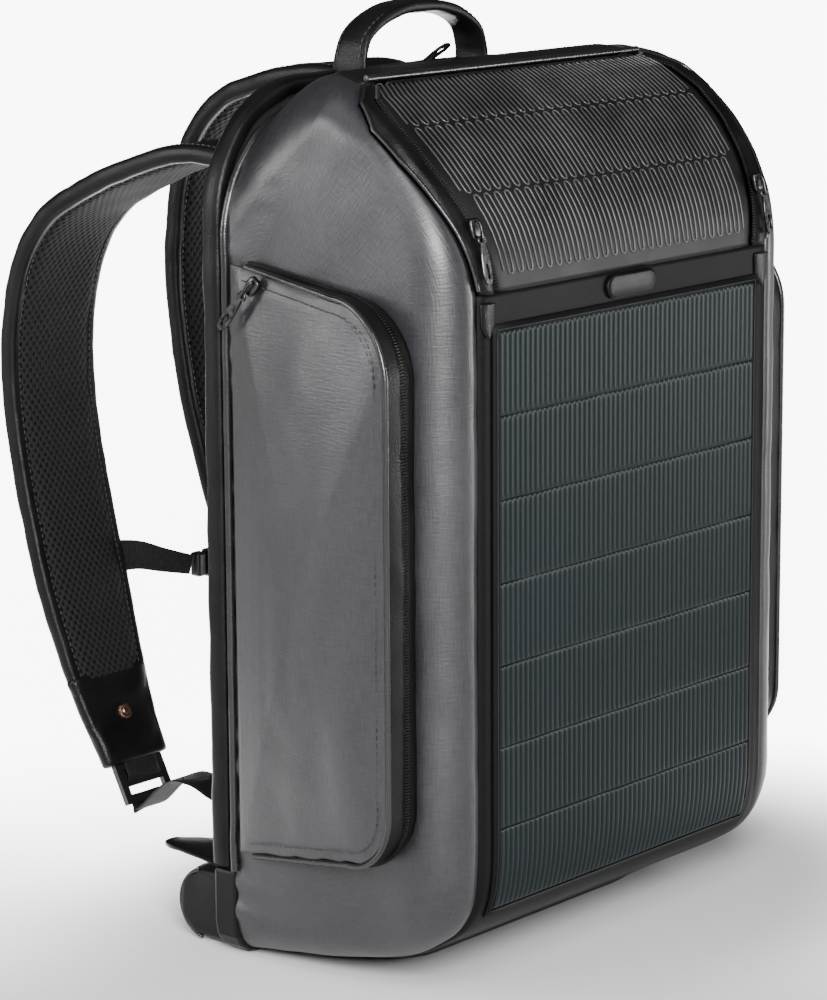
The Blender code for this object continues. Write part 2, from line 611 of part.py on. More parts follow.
def buckle(name, centre, along, outward, parent):
    """A ladder lock: a flat moulded frame with two long openings, in the plane across outward."""
    beside = along.cross(outward).normalized()
    half_thick = 0.0016
    xs = (-0.019, -0.014, 0.014, 0.019)
    ys = (-0.012, -0.0085, -0.0015, 0.0020, 0.0085, 0.012)
    open_cells = {(1, 1), (1, 3)}
    bm = bmesh.new()
    grid = {}
    for depth in (-half_thick, half_thick):
        for i, x in enumerate(xs):
            for j, y in enumerate(ys):
                grid[i, j, depth] = bm.verts.new(centre + beside * x + along * y + outward * depth)
    solid = {(i, j) for i in range(3) for j in range(5)} - open_cells
    for i, j in solid:
        for depth in (-half_thick, half_thick):
            corners = ((i, j), (i + 1, j), (i + 1, j + 1), (i, j + 1))
            bm.faces.new([grid[(*corner, depth)] for corner in corners])
        sides = (((i - 1, j), (i, j), (i, j + 1)), ((i + 1, j), (i + 1, j), (i + 1, j + 1)),
                 ((i, j - 1), (i, j), (i + 1, j)), ((i, j + 1), (i, j + 1), (i + 1, j + 1)))
        for neighbour, a, b in sides:
            if neighbour not in solid:
                bm.faces.new((grid[(*a, -half_thick)], grid[(*b, -half_thick)],
                              grid[(*b, half_thick)], grid[(*a, half_thick)]))
    place(name, finished_mesh(name, bm), PLASTIC, parent)


def lower_webbing(side, back):
    """The tapered anchor wing at the foot of the bag, and the webbing from the back to the ladder lock."""
    label = SIDE_NAMES[side]
    wing = [(0.100, BACK_Y + 0.0006), (0.143, BACK_Y + 0.0006), (0.127, 0.143), (0.110, 0.147)]
    wing = [(side * x, y) for x, y in wing]
    prism(f"anchor_wing_{label}", wing, "Z", 0.0452, 0.0492, LEATHERETTE)
    path = spline([(side * x, y, z) for x, y, z in WEBBING_PATHS[side]], 3)
    ribbon(f"strap_webbing_{label}", path, Vector((1, 0, 0)), 0.024, 0.0018, WEBBING, back)


shell()
solar_module()
top_flap()
for which in (LEFT, RIGHT):
    side_pocket(which)
handle()
hinged_back = back_panel()
for which in (LEFT, RIGHT):
    shoulder_strap(which, hinged_back)
    lower_webbing(which, hinged_back)
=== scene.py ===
"""Solar backpack: the visual model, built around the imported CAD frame.

Metres, +Z up. The solar front faces -Y, the wearer's left is -X, and the bag stands on z = 0.
"""
import math

import bmesh
import bpy
from mathutils import Matrix, Vector, noise


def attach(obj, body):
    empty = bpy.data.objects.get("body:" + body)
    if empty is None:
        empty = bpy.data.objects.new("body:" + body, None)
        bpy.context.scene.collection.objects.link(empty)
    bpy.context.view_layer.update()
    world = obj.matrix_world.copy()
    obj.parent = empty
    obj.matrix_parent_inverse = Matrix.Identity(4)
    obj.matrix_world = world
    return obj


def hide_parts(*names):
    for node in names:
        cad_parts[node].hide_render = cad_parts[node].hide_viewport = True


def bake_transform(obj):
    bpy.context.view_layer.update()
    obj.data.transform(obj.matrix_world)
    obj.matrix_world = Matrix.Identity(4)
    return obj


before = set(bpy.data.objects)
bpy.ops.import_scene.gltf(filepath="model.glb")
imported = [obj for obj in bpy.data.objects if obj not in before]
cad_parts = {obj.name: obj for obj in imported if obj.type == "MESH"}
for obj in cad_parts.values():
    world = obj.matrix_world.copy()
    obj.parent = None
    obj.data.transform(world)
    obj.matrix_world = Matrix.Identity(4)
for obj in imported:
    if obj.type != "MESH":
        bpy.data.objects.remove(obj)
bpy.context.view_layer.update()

LEFT, RIGHT = -1, 1
SIDES = {LEFT: "left", RIGHT: "right"}

# ---------------------------------------------------------------- sizes shared with the CAD
HALF_WIDTH = 0.149
FRONT_Y = -0.082
SEAM_Y = 0.067
BOARD_Y = 0.0725
BACK_Y = 0.084
FOLD_Z = 0.050
RIM_TOP, RIM_CORNER = 0.457, 0.069
BACK_TOP, BACK_CORNER = 0.470, 0.072
HINGE_Z = 0.372
PANEL_HALF = 0.1245
CELL_ROWS = 7
CELL_PITCH = 0.0433
SOLAR_HALF = 0.1102
SOLAR_TOP = 0.3525
POCKET_REAR_Y, POCKET_FRONT_Y = 0.060, -0.060
STRAP_X = 0.060
# the base is flat as far as FLAT_HALF from the middle, then lifts at its sides by one value a profile row
FLAT_HALF = 0.080
SIDE_LIFT = (0.003, 0.0055, 0.0125, 0.008, 0.004, 0.0)

# (y, z, edge radius) along the middle of the bag: base, front, flap, ridge, down to the rear rim
PROFILE = [
    (SEAM_Y, 0.0, 0.020), (0.043, 0.0, 0.020),
    (-0.010, 0.0, 0.0200), (-0.019, 0.0070, 0.0207), (-0.029, 0.0130, 0.0214), (-0.042, 0.0200, 0.0221),
    (-0.056, 0.0275, 0.0229), (-0.070, 0.037, 0.0236), (-0.079, 0.052, 0.0243), (FRONT_Y, 0.072, 0.0250),
    (FRONT_Y, 0.14, 0.025), (FRONT_Y, 0.22, 0.025), (FRONT_Y, 0.30, 0.025), (FRONT_Y, HINGE_Z, 0.025),
    (-0.0805, 0.388, 0.024), (-0.075, 0.404, 0.021), (-0.064, 0.421, 0.018), (-0.048, 0.440, 0.016),
    (-0.031, 0.455, 0.016), (-0.016, 0.466, 0.018), (-0.002, 0.4735, 0.022),
    (0.022, 0.4785, 0.042), (0.045, 0.4710, 0.056), (SEAM_Y, RIM_TOP, RIM_CORNER),
]
# where the front cloth begins, the flap's fold line, the top ridge and the rear rim, as rows of PROFILE
FRONT_ROW, HINGE_ROW, RIDGE_ROW, LAST_ROW = 5, 13, 20, 23
# half the distance between the side seams, one value a profile row from the fold line up
UPPER_SEAM = (PANEL_HALF, 0.128, 0.132, 0.137, 0.1415, 0.1425, 0.136, 0.118, 0.112, 0.105, 0.098)


# ---------------------------------------------------------------- camera
CAMERA_PLACE = (-1.4977, -1.2120, 0.6411)


def add_camera():
    """The photograph's view: from the bag's front left, a little above, through a long lens."""
    azimuth, elevation, roll = math.radians(-49.49), math.radians(11.82), math.radians(-0.36)
    right = Vector((math.cos(azimuth), math.sin(azimuth), 0))
    forward = Vector((-math.sin(azimuth) * math.cos(elevation), math.cos(azimuth) * math.cos(elevation),
                      -math.sin(elevation)))
    up = right.cross(forward)
    tilted_right = right * math.cos(roll) + up * math.sin(roll)
    tilted_up = up * math.cos(roll) - right * math.sin(roll)
    data = bpy.data.cameras.new("camera")
    data.sensor_fit = "VERTICAL"
    data.sensor_height = 36.0
    data.lens = 130.0
    data.clip_start = 0.05
    camera = bpy.data.objects.new("camera", data)
    bpy.context.scene.collection.objects.link(camera)
    columns = Matrix((tilted_right, tilted_up, -forward)).transposed()
    camera.matrix_world = Matrix.Translation(CAMERA_PLACE) @ columns.to_4x4()
    bpy.context.scene.camera = camera


add_camera()


# ---------------------------------------------------------------- materials
def node(tree, kind, links=None, values=None, **props):
    """A shader node with its linked inputs, its set inputs and its own properties."""
    made = tree.nodes.new("ShaderNode" + kind)
    for key, value in props.items():
        setattr(made, key, value)
    for key, value in (values or {}).items():
        made.inputs[key].default_value = value
    for key, socket in (links or {}).items():
        tree.links.new(socket, made.inputs[key])
    return made


def coordinates(tree, source, scale):
    """Texture coordinates in metres, times scale."""
    raw = node(tree, "TexCoord").outputs[source]
    return node(tree, "Mapping", {"Vector": raw}, {"Scale": scale}).outputs["Vector"]


def blend_colours(tree, factor, low, high, start=0.3, end=0.7):
    """Runs from low to high as factor goes from start to end."""
    ramp = node(tree, "ValToRGB", {"Fac": factor})
    for stop, place, colour in zip(ramp.color_ramp.elements, (start, end), (low, high)):
        stop.position = place
        stop.color = (*colour, 1)
    return ramp.outputs["Color"]


def maths(tree, operation, a, b=None):
    """A maths node. Sockets are linked and numbers are set."""
    made = node(tree, "Math", operation=operation)
    for index, value in enumerate((a, b)):
        if isinstance(value, (int, float)):
            made.inputs[index].default_value = value
        elif value is not None:
            tree.links.new(value, made.inputs[index])
    return made.outputs[0]


def texture(tree, vector, detail, scale=1.0):
    """Smooth noise, from 0 to 1."""
    return node(tree, "TexNoise", {"Vector": vector}, {"Scale": scale, "Detail": detail}).outputs["Fac"]


def bands(tree, source, scale, distortion, direction):
    """Even bands across one axis."""
    links = {"Vector": coordinates(tree, source, (1, 1, 1))}
    values = {"Scale": scale, "Distortion": distortion}
    return node(tree, "TexWave", links, values, bands_direction=direction).outputs["Fac"]


def bump(tree, height, strength, distance, under=None):
    """A bumped normal, on top of another one where under is given."""
    links = {"Height": height}
    if under is not None:
        links["Normal"] = under
    return node(tree, "Bump", links, {"Strength": strength, "Distance": distance}).outputs["Normal"]


def material(name, roughness, metallic=0.0, **sockets):
    """A new material and its tree and shader. sockets are constants on the shader."""
    made = bpy.data.materials.new(name)
    made.use_nodes = True
    shader = made.node_tree.nodes["Principled BSDF"]
    shader.inputs["Roughness"].default_value = roughness
    shader.inputs["Metallic"].default_value = metallic
    for key, value in sockets.items():
        shader.inputs[key.replace("_", " ")].default_value = value
    return made, made.node_tree, shader


def finish_material(tree, shader, colour, normal, roughness=None):
    """Links what the nodes work out to the shader."""
    tree.links.new(colour, shader.inputs["Base Color"])
    tree.links.new(normal, shader.inputs["Normal"])
    if roughness is not None:
        tree.links.new(roughness, shader.inputs["Roughness"])


def woven(name, low, high, roughness, thread=0.0007, mottle=0.25, source="UV", **sockets):
    """Plain-woven cloth: uneven threads both ways, laid out in metres."""
    made, tree, shader = material(name, roughness, **sockets)
    fine, long = 1.0 / thread, 0.12 / thread
    warp = texture(tree, coordinates(tree, source, (fine, long, long)), 3.0)
    weft = texture(tree, coordinates(tree, source, (long, fine, fine)), 3.0)
    threads = maths(tree, "MULTIPLY", maths(tree, "ADD", warp, weft), 0.5)
    blotch = texture(tree, coordinates(tree, "Object", (14, 14, 9)), 4.0)
    patches = maths(tree, "MULTIPLY", maths(tree, "SUBTRACT", blotch, 0.5), mottle)
    colour = blend_colours(tree, maths(tree, "ADD", threads, patches), low, high)
    uneven = maths(tree, "ADD", maths(tree, "MULTIPLY", blotch, 0.16), roughness - 0.08)
    finish_material(tree, shader, colour, bump(tree, threads, 0.5, 0.0005), uneven)
    return made


def grained(name, low, high, roughness, grain=0.0009, depth=0.00025, **sockets):
    """Leatherette or moulded plastic: a cellular grain and faint scuffs, laid out in space."""
    made, tree, shader = material(name, roughness, **sockets)
    place = coordinates(tree, "Object", (1, 1, 1))
    cells = node(tree, "TexVoronoi", {"Vector": place}, {"Scale": 1 / grain}).outputs["Distance"]
    scuffs = texture(tree, place, 5.0, 40.0)
    uneven = maths(tree, "ADD", maths(tree, "MULTIPLY", scuffs, 0.22), roughness - 0.11)
    creases = bump(tree, texture(tree, place, 4.0, 90.0), 0.25, 0.0010)
    colour = blend_colours(tree, scuffs, low, high)
    finish_material(tree, shader, colour, bump(tree, cells, 0.4, depth, creases), uneven)
    return made


def spacer_mesh(name):
    """Air mesh over foam: staggered round holes, laid out by UV in metres. The holes' near-black colour is
    painted shade.
    """
    made, tree, shader = material(name, 0.75, Specular_IOR_Level=0.1)
    place = node(tree, "SeparateXYZ", {"Vector": coordinates(tree, "UV", (1, 1, 1))})
    across = maths(tree, "COSINE", maths(tree, "MULTIPLY", place.outputs["X"], math.tau / 0.0046))
    along = maths(tree, "COSINE", maths(tree, "MULTIPLY", place.outputs["Y"], math.tau / 0.0062))
    holes = maths(tree, "MULTIPLY", across, along)
    # the holes are painted near black: painted shade down in them, while the bump gives their real depth
    colour = blend_colours(tree, holes, (0.011, 0.011, 0.0115), (0.0012, 0.0012, 0.0012), 0.12, 0.55)
    fuzz = texture(tree, coordinates(tree, "UV", (1, 1, 1)), 2.0, 2600.0)
    depth = maths(tree, "SUBTRACT", maths(tree, "MULTIPLY", fuzz, 0.3), holes)
    finish_material(tree, shader, colour, bump(tree, depth, 0.6, 0.0008))
    return made


def webbing_material(name):
    """Woven webbing: ribs across its length."""
    made, tree, shader = material(name, 0.66, Specular_IOR_Level=0.14)
    ribs = bands(tree, "UV", 260.0, 0.6, "Y")
    threads = texture(tree, coordinates(tree, "UV", (1500, 300, 1)), 2.0)
    height = maths(tree, "ADD", ribs, maths(tree, "MULTIPLY", threads, 0.6))
    colour = blend_colours(tree, threads, (0.003, 0.003, 0.0035), (0.011, 0.011, 0.012))
    finish_material(tree, shader, colour, bump(tree, height, 0.5, 0.0004))
    return made


def cell_material(name):
    """Dark teal thin-film cells under a satin film, with fine collector lines along each rib."""
    made, tree, shader = material(name, 0.42, Specular_IOR_Level=0.16)
    lines = bands(tree, "Object", 390.0, 0.0, "X")
    place = coordinates(tree, "Object", (1, 1, 1))
    grain = texture(tree, place, 3.0, 700.0)
    tone = texture(tree, place, 2.0, 9.0)
    factor = maths(tree, "ADD", maths(tree, "MULTIPLY", lines, 0.25), maths(tree, "MULTIPLY", tone, 0.55))
    colour = blend_colours(tree, factor, (0.0010, 0.0036, 0.0046), (0.0028, 0.0074, 0.0086))
    finish_material(tree, shader, colour, bump(tree, grain, 0.25, 0.0002))
    return made


def metal_material(name, low, high, roughness):
    """Plated metal with fine handling marks."""
    made, tree, shader = material(name, roughness, metallic=1.0)
    place = coordinates(tree, "Object", (1, 1, 1))
    marks = texture(tree, place, 6.0, 350.0)
    uneven = maths(tree, "ADD", maths(tree, "MULTIPLY", marks, 0.2), roughness - 0.1)
    colour = blend_colours(tree, marks, low, high)
    finish_material(tree, shader, colour, bump(tree, marks, 0.04, 0.0001), uneven)
    return made


GREY = woven("grey_cloth", (0.0030, 0.0029, 0.0038), (0.019, 0.0180, 0.0220), 0.41,
             thread=0.0010, mottle=0.55, Specular_IOR_Level=0.65)
BLACK = woven("black_cloth", (0.0015, 0.0015, 0.0018), (0.0045, 0.0045, 0.005), 0.52,
              Specular_IOR_Level=0.08)
STRAP_CLOTH = woven("strap_cloth", (0.003, 0.003, 0.003), (0.008, 0.008, 0.0085), 0.72,
                    Specular_IOR_Level=0.08)
BOARD_CLOTH = woven("board_cloth", (0.006, 0.006, 0.006), (0.014, 0.014, 0.015), 0.60, source="Object")
LINING = woven("lining_cloth", (0.05, 0.05, 0.054), (0.09, 0.09, 0.096), 0.80, source="Object")
LEATHER = grained("leatherette", (0.002, 0.002, 0.0022), (0.0045, 0.0045, 0.0048), 0.38,
                  Specular_IOR_Level=0.16)
LID = grained("flap_ground", (0.003, 0.003, 0.0033), (0.007, 0.007, 0.0075), 0.48,
              grain=0.0006, depth=0.00015, Specular_IOR_Level=0.2)
RIB = grained("embossed_line", (0.022, 0.022, 0.023), (0.048, 0.048, 0.050), 0.32,
              grain=0.0005, depth=0.0001)
PLASTIC = grained("moulded_plastic", (0.003, 0.003, 0.003), (0.009, 0.009, 0.009), 0.34,
                  grain=0.0005, depth=0.0001)
BADGE = grained("badge_satin", (0.001, 0.001, 0.001), (0.003, 0.003, 0.003), 0.36,
                grain=0.0004, depth=0.00006, Specular_IOR_Level=0.12)
TEETH = grained("zip_teeth", (0.002, 0.002, 0.0022), (0.006, 0.006, 0.0065), 0.42,
                grain=0.0004, depth=0.0001, Specular_IOR_Level=0.15)
PIPING = grained("glossy_piping", (0.003, 0.003, 0.0033), (0.008, 0.008, 0.0085), 0.27, depth=0.00012,
                 Specular_IOR_Level=0.55)
THREAD = grained("thread", (0.012, 0.012, 0.013), (0.026, 0.026, 0.028), 0.55, grain=0.0003, depth=0.0001)
MESH = spacer_mesh("air_mesh")
WEBBING = webbing_material("ribbed_webbing")
CELLS = cell_material("solar_cells")
METAL = metal_material("dark_plated_metal", (0.020, 0.020, 0.021), (0.075, 0.075, 0.078), 0.30)
COPPER = metal_material("antique_copper", (0.16, 0.085, 0.06), (0.36, 0.21, 0.15), 0.34)


# ---------------------------------------------------------------- making pieces
TOOTH_PITCH = 0.0016
PUFF_PRESSURE = 4.0
PUFF_FRAMES = 20


def finish_piece(obj, look, body, stands_for=()):
    """Gives a piece its material and body, and hides the CAD nodes it stands for.

    A piece without a body is attached to nothing: the caller bakes its transform instead.
    """
    if obj.name not in bpy.context.scene.collection.objects:
        bpy.context.scene.collection.objects.link(obj)
    obj.data.materials.append(look)
    if stands_for:
        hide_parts(*stands_for)
    if body:
        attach(obj, body)
    return obj


def paint(name, look):
    """Gives a carried-over CAD solid its procedural material."""
    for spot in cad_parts[name].material_slots:
        spot.material = look


def mesh_object(name, bm):
    """An object from a finished bmesh, shaded smooth except at sharp edges."""
    mesh = bpy.data.meshes.new(name)
    bm.to_mesh(mesh)
    bm.free()
    mesh.shade_smooth()
    mesh.set_sharp_from_angle(angle=math.radians(40))
    obj = bpy.data.objects.new(name, mesh)
    bpy.context.scene.collection.objects.link(obj)
    return obj


def running_lengths(points):
    """Distances along a line of points, from its first."""
    total, made = 0.0, [0.0]
    for a, b in zip(points, points[1:]):
        total += (b - a).length
        made.append(total)
    return made


def grid_mesh(name, rows, outward=None, loop=False, uv=None, caps=False):
    """A surface through rows of points, with a UV map in metres. loop joins each row's end to its start."""
    bm = bmesh.new()
    layer = bm.loops.layers.uv.new("UV")
    verts = [[bm.verts.new(p) for p in row] for row in rows]
    if uv is None:
        middle = [row[len(row) // 2] for row in rows]
        down = running_lengths(middle)
        places = [[(s, down[i]) for s in running_lengths([*row, row[0]])] for i, row in enumerate(rows)]
    else:
        places = [[uv(p) for p in [*row, row[0]]] for row in rows]
    width = len(rows[0])
    for i in range(len(rows) - 1):
        for j in range(width if loop else width - 1):
            k = (j + 1) % width
            corners = (verts[i][j], verts[i][k], verts[i + 1][k], verts[i + 1][j])
            if len({tuple(round(c, 7) for c in v.co) for v in corners}) < 3:
                continue
            face = bm.faces.new(corners)
            marks = (places[i][j], places[i][j + 1], places[i + 1][j + 1], places[i + 1][j])
            for corner, mark in zip(face.loops, marks):
                corner[layer].uv = mark
    if caps:
        bm.faces.new(verts[0][::-1])
        bm.faces.new(verts[-1])
    bmesh.ops.remove_doubles(bm, verts=bm.verts, dist=1e-6)
    bmesh.ops.recalc_face_normals(bm, faces=bm.faces)
    if outward is not None:
        facing = sum((f.normal * f.calc_area() for f in bm.faces), Vector())
        if facing.dot(Vector(outward)) < 0:
            bmesh.ops.reverse_faces(bm, faces=bm.faces)
    return mesh_object(name, bm)


def thicken(obj, thickness):
    """Gives a sheet its thickness, inwards from the face it was made with."""
    solid = obj.modifiers.new("thickness", "SOLIDIFY")
    solid.thickness = thickness
    solid.offset = -1.0
    solid.use_even_offset = False


def soften(obj):
    """Rounds a piece with one level of subdivision."""
    smooth = obj.modifiers.new("smooth", "SUBSURF")
    smooth.levels = smooth.render_levels = 1
    return obj


def move_points(obj, shift):
    """Moves each vertex along its normal by shift(place)."""
    normals = [v.normal.copy() for v in obj.data.vertices]
    for vert, normal in zip(obj.data.vertices, normals):
        vert.co += normal * shift(vert.co)
    obj.data.update()


def ripple(place, size, height):
    """Smooth, fixed unevenness of about height, in waves of about size."""
    return noise.noise(place / size) * height


def tube(name, points, radius, look, body, loop=False, sides=3, stands_for=()):
    """A round cord, piping or wire through points."""
    data = bpy.data.curves.new(name, "CURVE")
    data.dimensions = "3D"
    data.bevel_depth = radius
    data.bevel_resolution = sides
    data.use_fill_caps = True
    line = data.splines.new("POLY")
    line.points.add(len(points) - 1)
    for spot, place in zip(line.points, points):
        spot.co = (*place, 1)
    line.use_cyclic_u = loop
    line.use_smooth = True
    return finish_piece(bpy.data.objects.new(name, data), look, body, stands_for)


def between(start, end, steps):
    """The values from start to end, in even steps."""
    return [start + (end - start) * k / steps for k in range(steps + 1)]


def resample(points, step, facings):
    """Points about step apart along a line, each with its direction and its facing."""
    lengths = running_lengths(points)
    count = max(1, round(lengths[-1] / step))
    made, i = [], 0
    for k in range(count + 1):
        target = lengths[-1] * k / count
        while i < len(lengths) - 2 and lengths[i + 1] < target:
            i += 1
        share = (target - lengths[i]) / max(lengths[i + 1] - lengths[i], 1e-9)
        along = (points[i + 1] - points[i]).normalized()
        made.append((points[i].lerp(points[i + 1], share), along, facings[i].lerp(facings[i + 1], share)))
    return made


def bricks(name, places, size, look, body, round_off=0.25):
    """Many small rounded blocks in one mesh.

    places holds (centre, along, outward) and size holds (length, width, height).
    """
    bm = bmesh.new()
    corners = ((-1, -0.4), (-0.6, 1), (0.6, 1), (1, -0.4))
    ends = ((-1, 1 - round_off), (-0.6, 1), (0.6, 1), (1, 1 - round_off))
    long, wide, high = (s / 2 for s in size)
    for centre, along, outward in places:
        side = along.cross(outward).normalized()
        top = side.cross(along).normalized()
        rings = []
        for end, shrink in ends:
            middle = centre + along * end * long
            ring = [middle + side * a * wide * shrink + top * b * high * shrink for a, b in corners]
            rings.append([bm.verts.new(p) for p in ring])
        for first, second in zip(rings, rings[1:]):
            for i in range(4):
                j = (i + 1) % 4
                bm.faces.new((first[i], first[j], second[j], second[i]))
        bm.faces.new(rings[0][::-1])
        bm.faces.new(rings[-1])
    bmesh.ops.recalc_face_normals(bm, faces=bm.faces)
    return finish_piece(mesh_object(name, bm), look, body)


def face_along(points, outward):
    """The facing at each point: outward may be one direction, a function of place or a list."""
    if callable(outward):
        return [outward(p) for p in points]
    if isinstance(outward, list):
        return outward
    return [Vector(outward)] * len(points)


def stitches(name, points, outward, body, pitch=0.0042, length=0.0028):
    """A line of thread stitches."""
    places = resample(points, pitch, face_along(points, outward))
    return bricks(name, places, (length, 0.0007, 0.0006), THREAD, body, round_off=0.5)


def zip_teeth(name, points, outward, body):
    """A zip's coil: a line of small blocks across its length."""
    places = resample(points, TOOTH_PITCH, face_along(points, outward))
    return bricks(name, places, (TOOTH_PITCH * 0.62, 0.0034, 0.0013), TEETH, body)


def curve_through(points, steps):
    """A smooth curve through the points (Catmull-Rom), steps pieces between each two."""
    pts = [Vector(p) for p in points]
    pts = [2 * pts[0] - pts[1], *pts, 2 * pts[-1] - pts[-2]]
    made = []
    for a, b, c, d in zip(pts, pts[1:], pts[2:], pts[3:]):
        for k in range(steps):
            t = k / steps
            bend, twist = 2 * a - 5 * b + 4 * c - d, 3 * b - a - 3 * c + d
            made.append(0.5 * (2 * b + (c - a) * t + bend * t**2 + twist * t**3))
    return [*made, pts[-2]]


def arc(centre, radius, start, end, steps):
    """Points along an arc, from one angle in degrees to another."""
    angles = [math.radians(start + (end - start) * k / steps) for k in range(steps + 1)]
    return [(centre[0] + radius * math.cos(a), centre[1] + radius * math.sin(a)) for a in angles]


def sweep(name, centres, across, section):
    """A closed form swept along centres. section(k) gives its outline there, as (across, up) pairs."""
    rows = []
    last = len(centres) - 1
    for k, centre in enumerate(centres):
        ahead = (centres[min(k + 1, last)] - centres[max(k - 1, 0)]).normalized()
        side = (across - ahead * across.dot(ahead)).normalized()
        up = side.cross(ahead).normalized()
        rows.append([centre + side * a + up * b for a, b in section(k)])
    return grid_mesh(name, rows, loop=True, caps=True)


def signed_power(value, power):
    """The power of a value's size, with the value's own sign."""
    return math.copysign(abs(value) ** power, value)


def pad_outline(width, height, power, steps):
    """A flat rounded outline, as (across, up) pairs. A higher power makes squarer corners."""
    made = []
    for k in range(steps):
        angle = math.tau * k / steps
        across, up = signed_power(math.cos(angle), 2 / power), signed_power(math.sin(angle), 2 / power)
        made.append((across * width / 2, up * height / 2))
    return made


def inflate(obj, voxel, cap, held):
    """Puffs a padded piece with cloth simulation, by cap at most, except where held(place) is true."""
    before = obj.modifiers.new("remesh", "REMESH")
    before.mode = "VOXEL"
    before.voxel_size = voxel
    bake_modifiers(obj)
    pins = obj.vertex_groups.new(name="held")
    pins.add([v.index for v in obj.data.vertices if held(v.co)], 1.0, "REPLACE")
    start = [v.co.copy() for v in obj.data.vertices]
    cloth = obj.modifiers.new("cloth", "CLOTH")
    cloth.settings.use_pressure = True
    cloth.settings.uniform_pressure_force = PUFF_PRESSURE
    cloth.settings.tension_stiffness = cloth.settings.compression_stiffness = 25
    cloth.settings.vertex_group_mass = "held"
    cloth.settings.effector_weights.gravity = 0
    for frame_number in range(1, PUFF_FRAMES + 1):
        bpy.context.scene.frame_set(frame_number)
    bake_modifiers(obj)
    bpy.context.scene.frame_set(1)
    for vert, old in zip(obj.data.vertices, start):
        moved = vert.co - old
        if moved.length > cap:
            vert.co = old + moved * (cap / moved.length)
    obj.vertex_groups.clear()
    obj.data.shade_smooth()
    soften(obj)


def bake_modifiers(obj):
    """Replaces the mesh with its modifiers' result."""
    depsgraph = bpy.context.evaluated_depsgraph_get()
    result = bpy.data.meshes.new_from_object(obj.evaluated_get(depsgraph))
    obj.modifiers.clear()
    obj.data = result


def flat_uv(obj):
    """A UV map in metres, laid flat across the back."""
    layer = obj.data.uv_layers.get("UV") or obj.data.uv_layers.new(name="UV")
    for loop in obj.data.loops:
        place = obj.data.vertices[loop.vertex_index].co
        layer.data[loop.index].uv = (place.x, place.z)


# ---------------------------------------------------------------- the bag's skin
STEP = 0.0025
SEAM_GAP = 0.0004
SEAM_DIP, SEAM_DIP_WIDTH = 0.0011, 0.0025
OPENING_PASSES = 160


def skin_samples():
    """The profile in even steps, its corners eased, as (y, z, radius, profile row, normal)."""
    points = [(Vector((y, z, r)), row) for row, (y, z, r) in enumerate(PROFILE)]
    made = []
    for (a, row), (b, _) in zip(points, points[1:]):
        pieces = max(1, round((b - a).xy.length / STEP))
        made += [(a.lerp(b, k / pieces), row + k / pieces) for k in range(pieces)]
    made.append(points[-1])
    for _ in range(10):
        eased = [(p + 2 * q + r) / 4 for (p, _), (q, _), (r, _) in zip(made, made[1:], made[2:])]
        made = [made[0], *[(p, row) for p, (_, row) in zip(eased, made[1:-1])], made[-1]]
    samples = []
    for k, (p, row) in enumerate(made):
        before, after = made[max(k - 1, 0)][0], made[min(k + 1, len(made) - 1)][0]
        along = (after - before).xy.normalized()
        normal = Vector((-along.y, along.x))
        upright = min(1.0, max(0.0, row - RIDGE_ROW))
        samples.append((p.x, p.y, p.z, row, normal.lerp(Vector((0, 1)), upright).normalized()))
    return samples


SAMPLES = skin_samples()


def sample_of_row(row):
    """The index in SAMPLES nearest a profile row."""
    return min(range(len(SAMPLES)), key=lambda k: abs(SAMPLES[k][3] - row))


def between_rows(row, table, first=0):
    """A value from a table with one entry per profile row, at a row that may lie between two."""
    spot = min(max(row - first, 0.0), len(table) - 1.0)
    i = min(int(spot), len(table) - 2)
    return table[i] + (table[i + 1] - table[i]) * (spot - i)


def side_curl(row, x, flat):
    """How far the base rises towards its sides, at a distance x from the middle."""
    share = min(1.0, max(0.0, (x - FLAT_HALF) / (flat - FLAT_HALF)))
    return between_rows(row, SIDE_LIFT) * share ** 1.4


def skin(k, x, lift):
    """The bag's surface at sample k and a distance x from the middle, lifted outwards."""
    y, z, radius, row, normal = SAMPLES[k]
    flat = HALF_WIDTH - radius
    turn = math.asin(min(1.0, max(0.0, (abs(x) - flat) / radius)))
    inset = radius * (1 - math.cos(turn)) - lift * math.cos(turn)
    out = math.copysign(lift * math.sin(turn), x)
    return Vector((x + out, y - normal.x * inset, z - normal.y * inset + side_curl(row, abs(x), flat)))


def seam_half(k):
    """Distance from the middle of the seam beside the side panel."""
    row = SAMPLES[k][3]
    if row < HINGE_ROW:
        return max(PANEL_HALF, HALF_WIDTH - SAMPLES[k][2])
    return between_rows(row, UPPER_SEAM, HINGE_ROW)


def flap_half(k):
    """Half the flap's width, between its side zips."""
    return seam_half(k) - 0.0145 + 0.002 * max(0.0, SAMPLES[k][3] - 18)


BASE_K = sample_of_row(FRONT_ROW)
HINGE_K = sample_of_row(HINGE_ROW)
RIDGE_K = sample_of_row(RIDGE_ROW)
LAST_K = len(SAMPLES) - 1


def cloth_across(name, cad_node, span, half, look, outward, body="bag", columns=40, dip=0.0010,
                 thickness=0.0024):
    """A cloth panel half(k) wide each way, over a span of samples. Its edges dip into the seams."""
    first, last = span
    rows = []
    for k in range(first, last + 1):
        row = []
        for x in between(-half(k), half(k), columns):
            sunk = dip * math.exp((abs(x) - half(k)) / SEAM_DIP_WIDTH)
            row.append(skin(k, x, -sunk))
        rows.append(row)
    obj = grid_mesh(name, rows, outward)
    thicken(obj, thickness)
    finish_piece(obj, look, body, [cad_node])


def open_out(lines, first, last):
    """Evens out lines first to last, where a wide rounded edge turns a tight corner.

    Without it the edge would fold over itself there.
    """
    for _ in range(OPENING_PASSES):
        before = [list(line) for line in lines[first - 1:last + 2]]
        for k in range(first, last + 1):
            above, here, below = before[k - first:k - first + 3]
            outermost = len(here) - 1
            for j, (a, p, b) in enumerate(zip(above, here, below)):
                lines[k][j] = p.lerp((a + b) / 2, 0.5 * j / outermost)


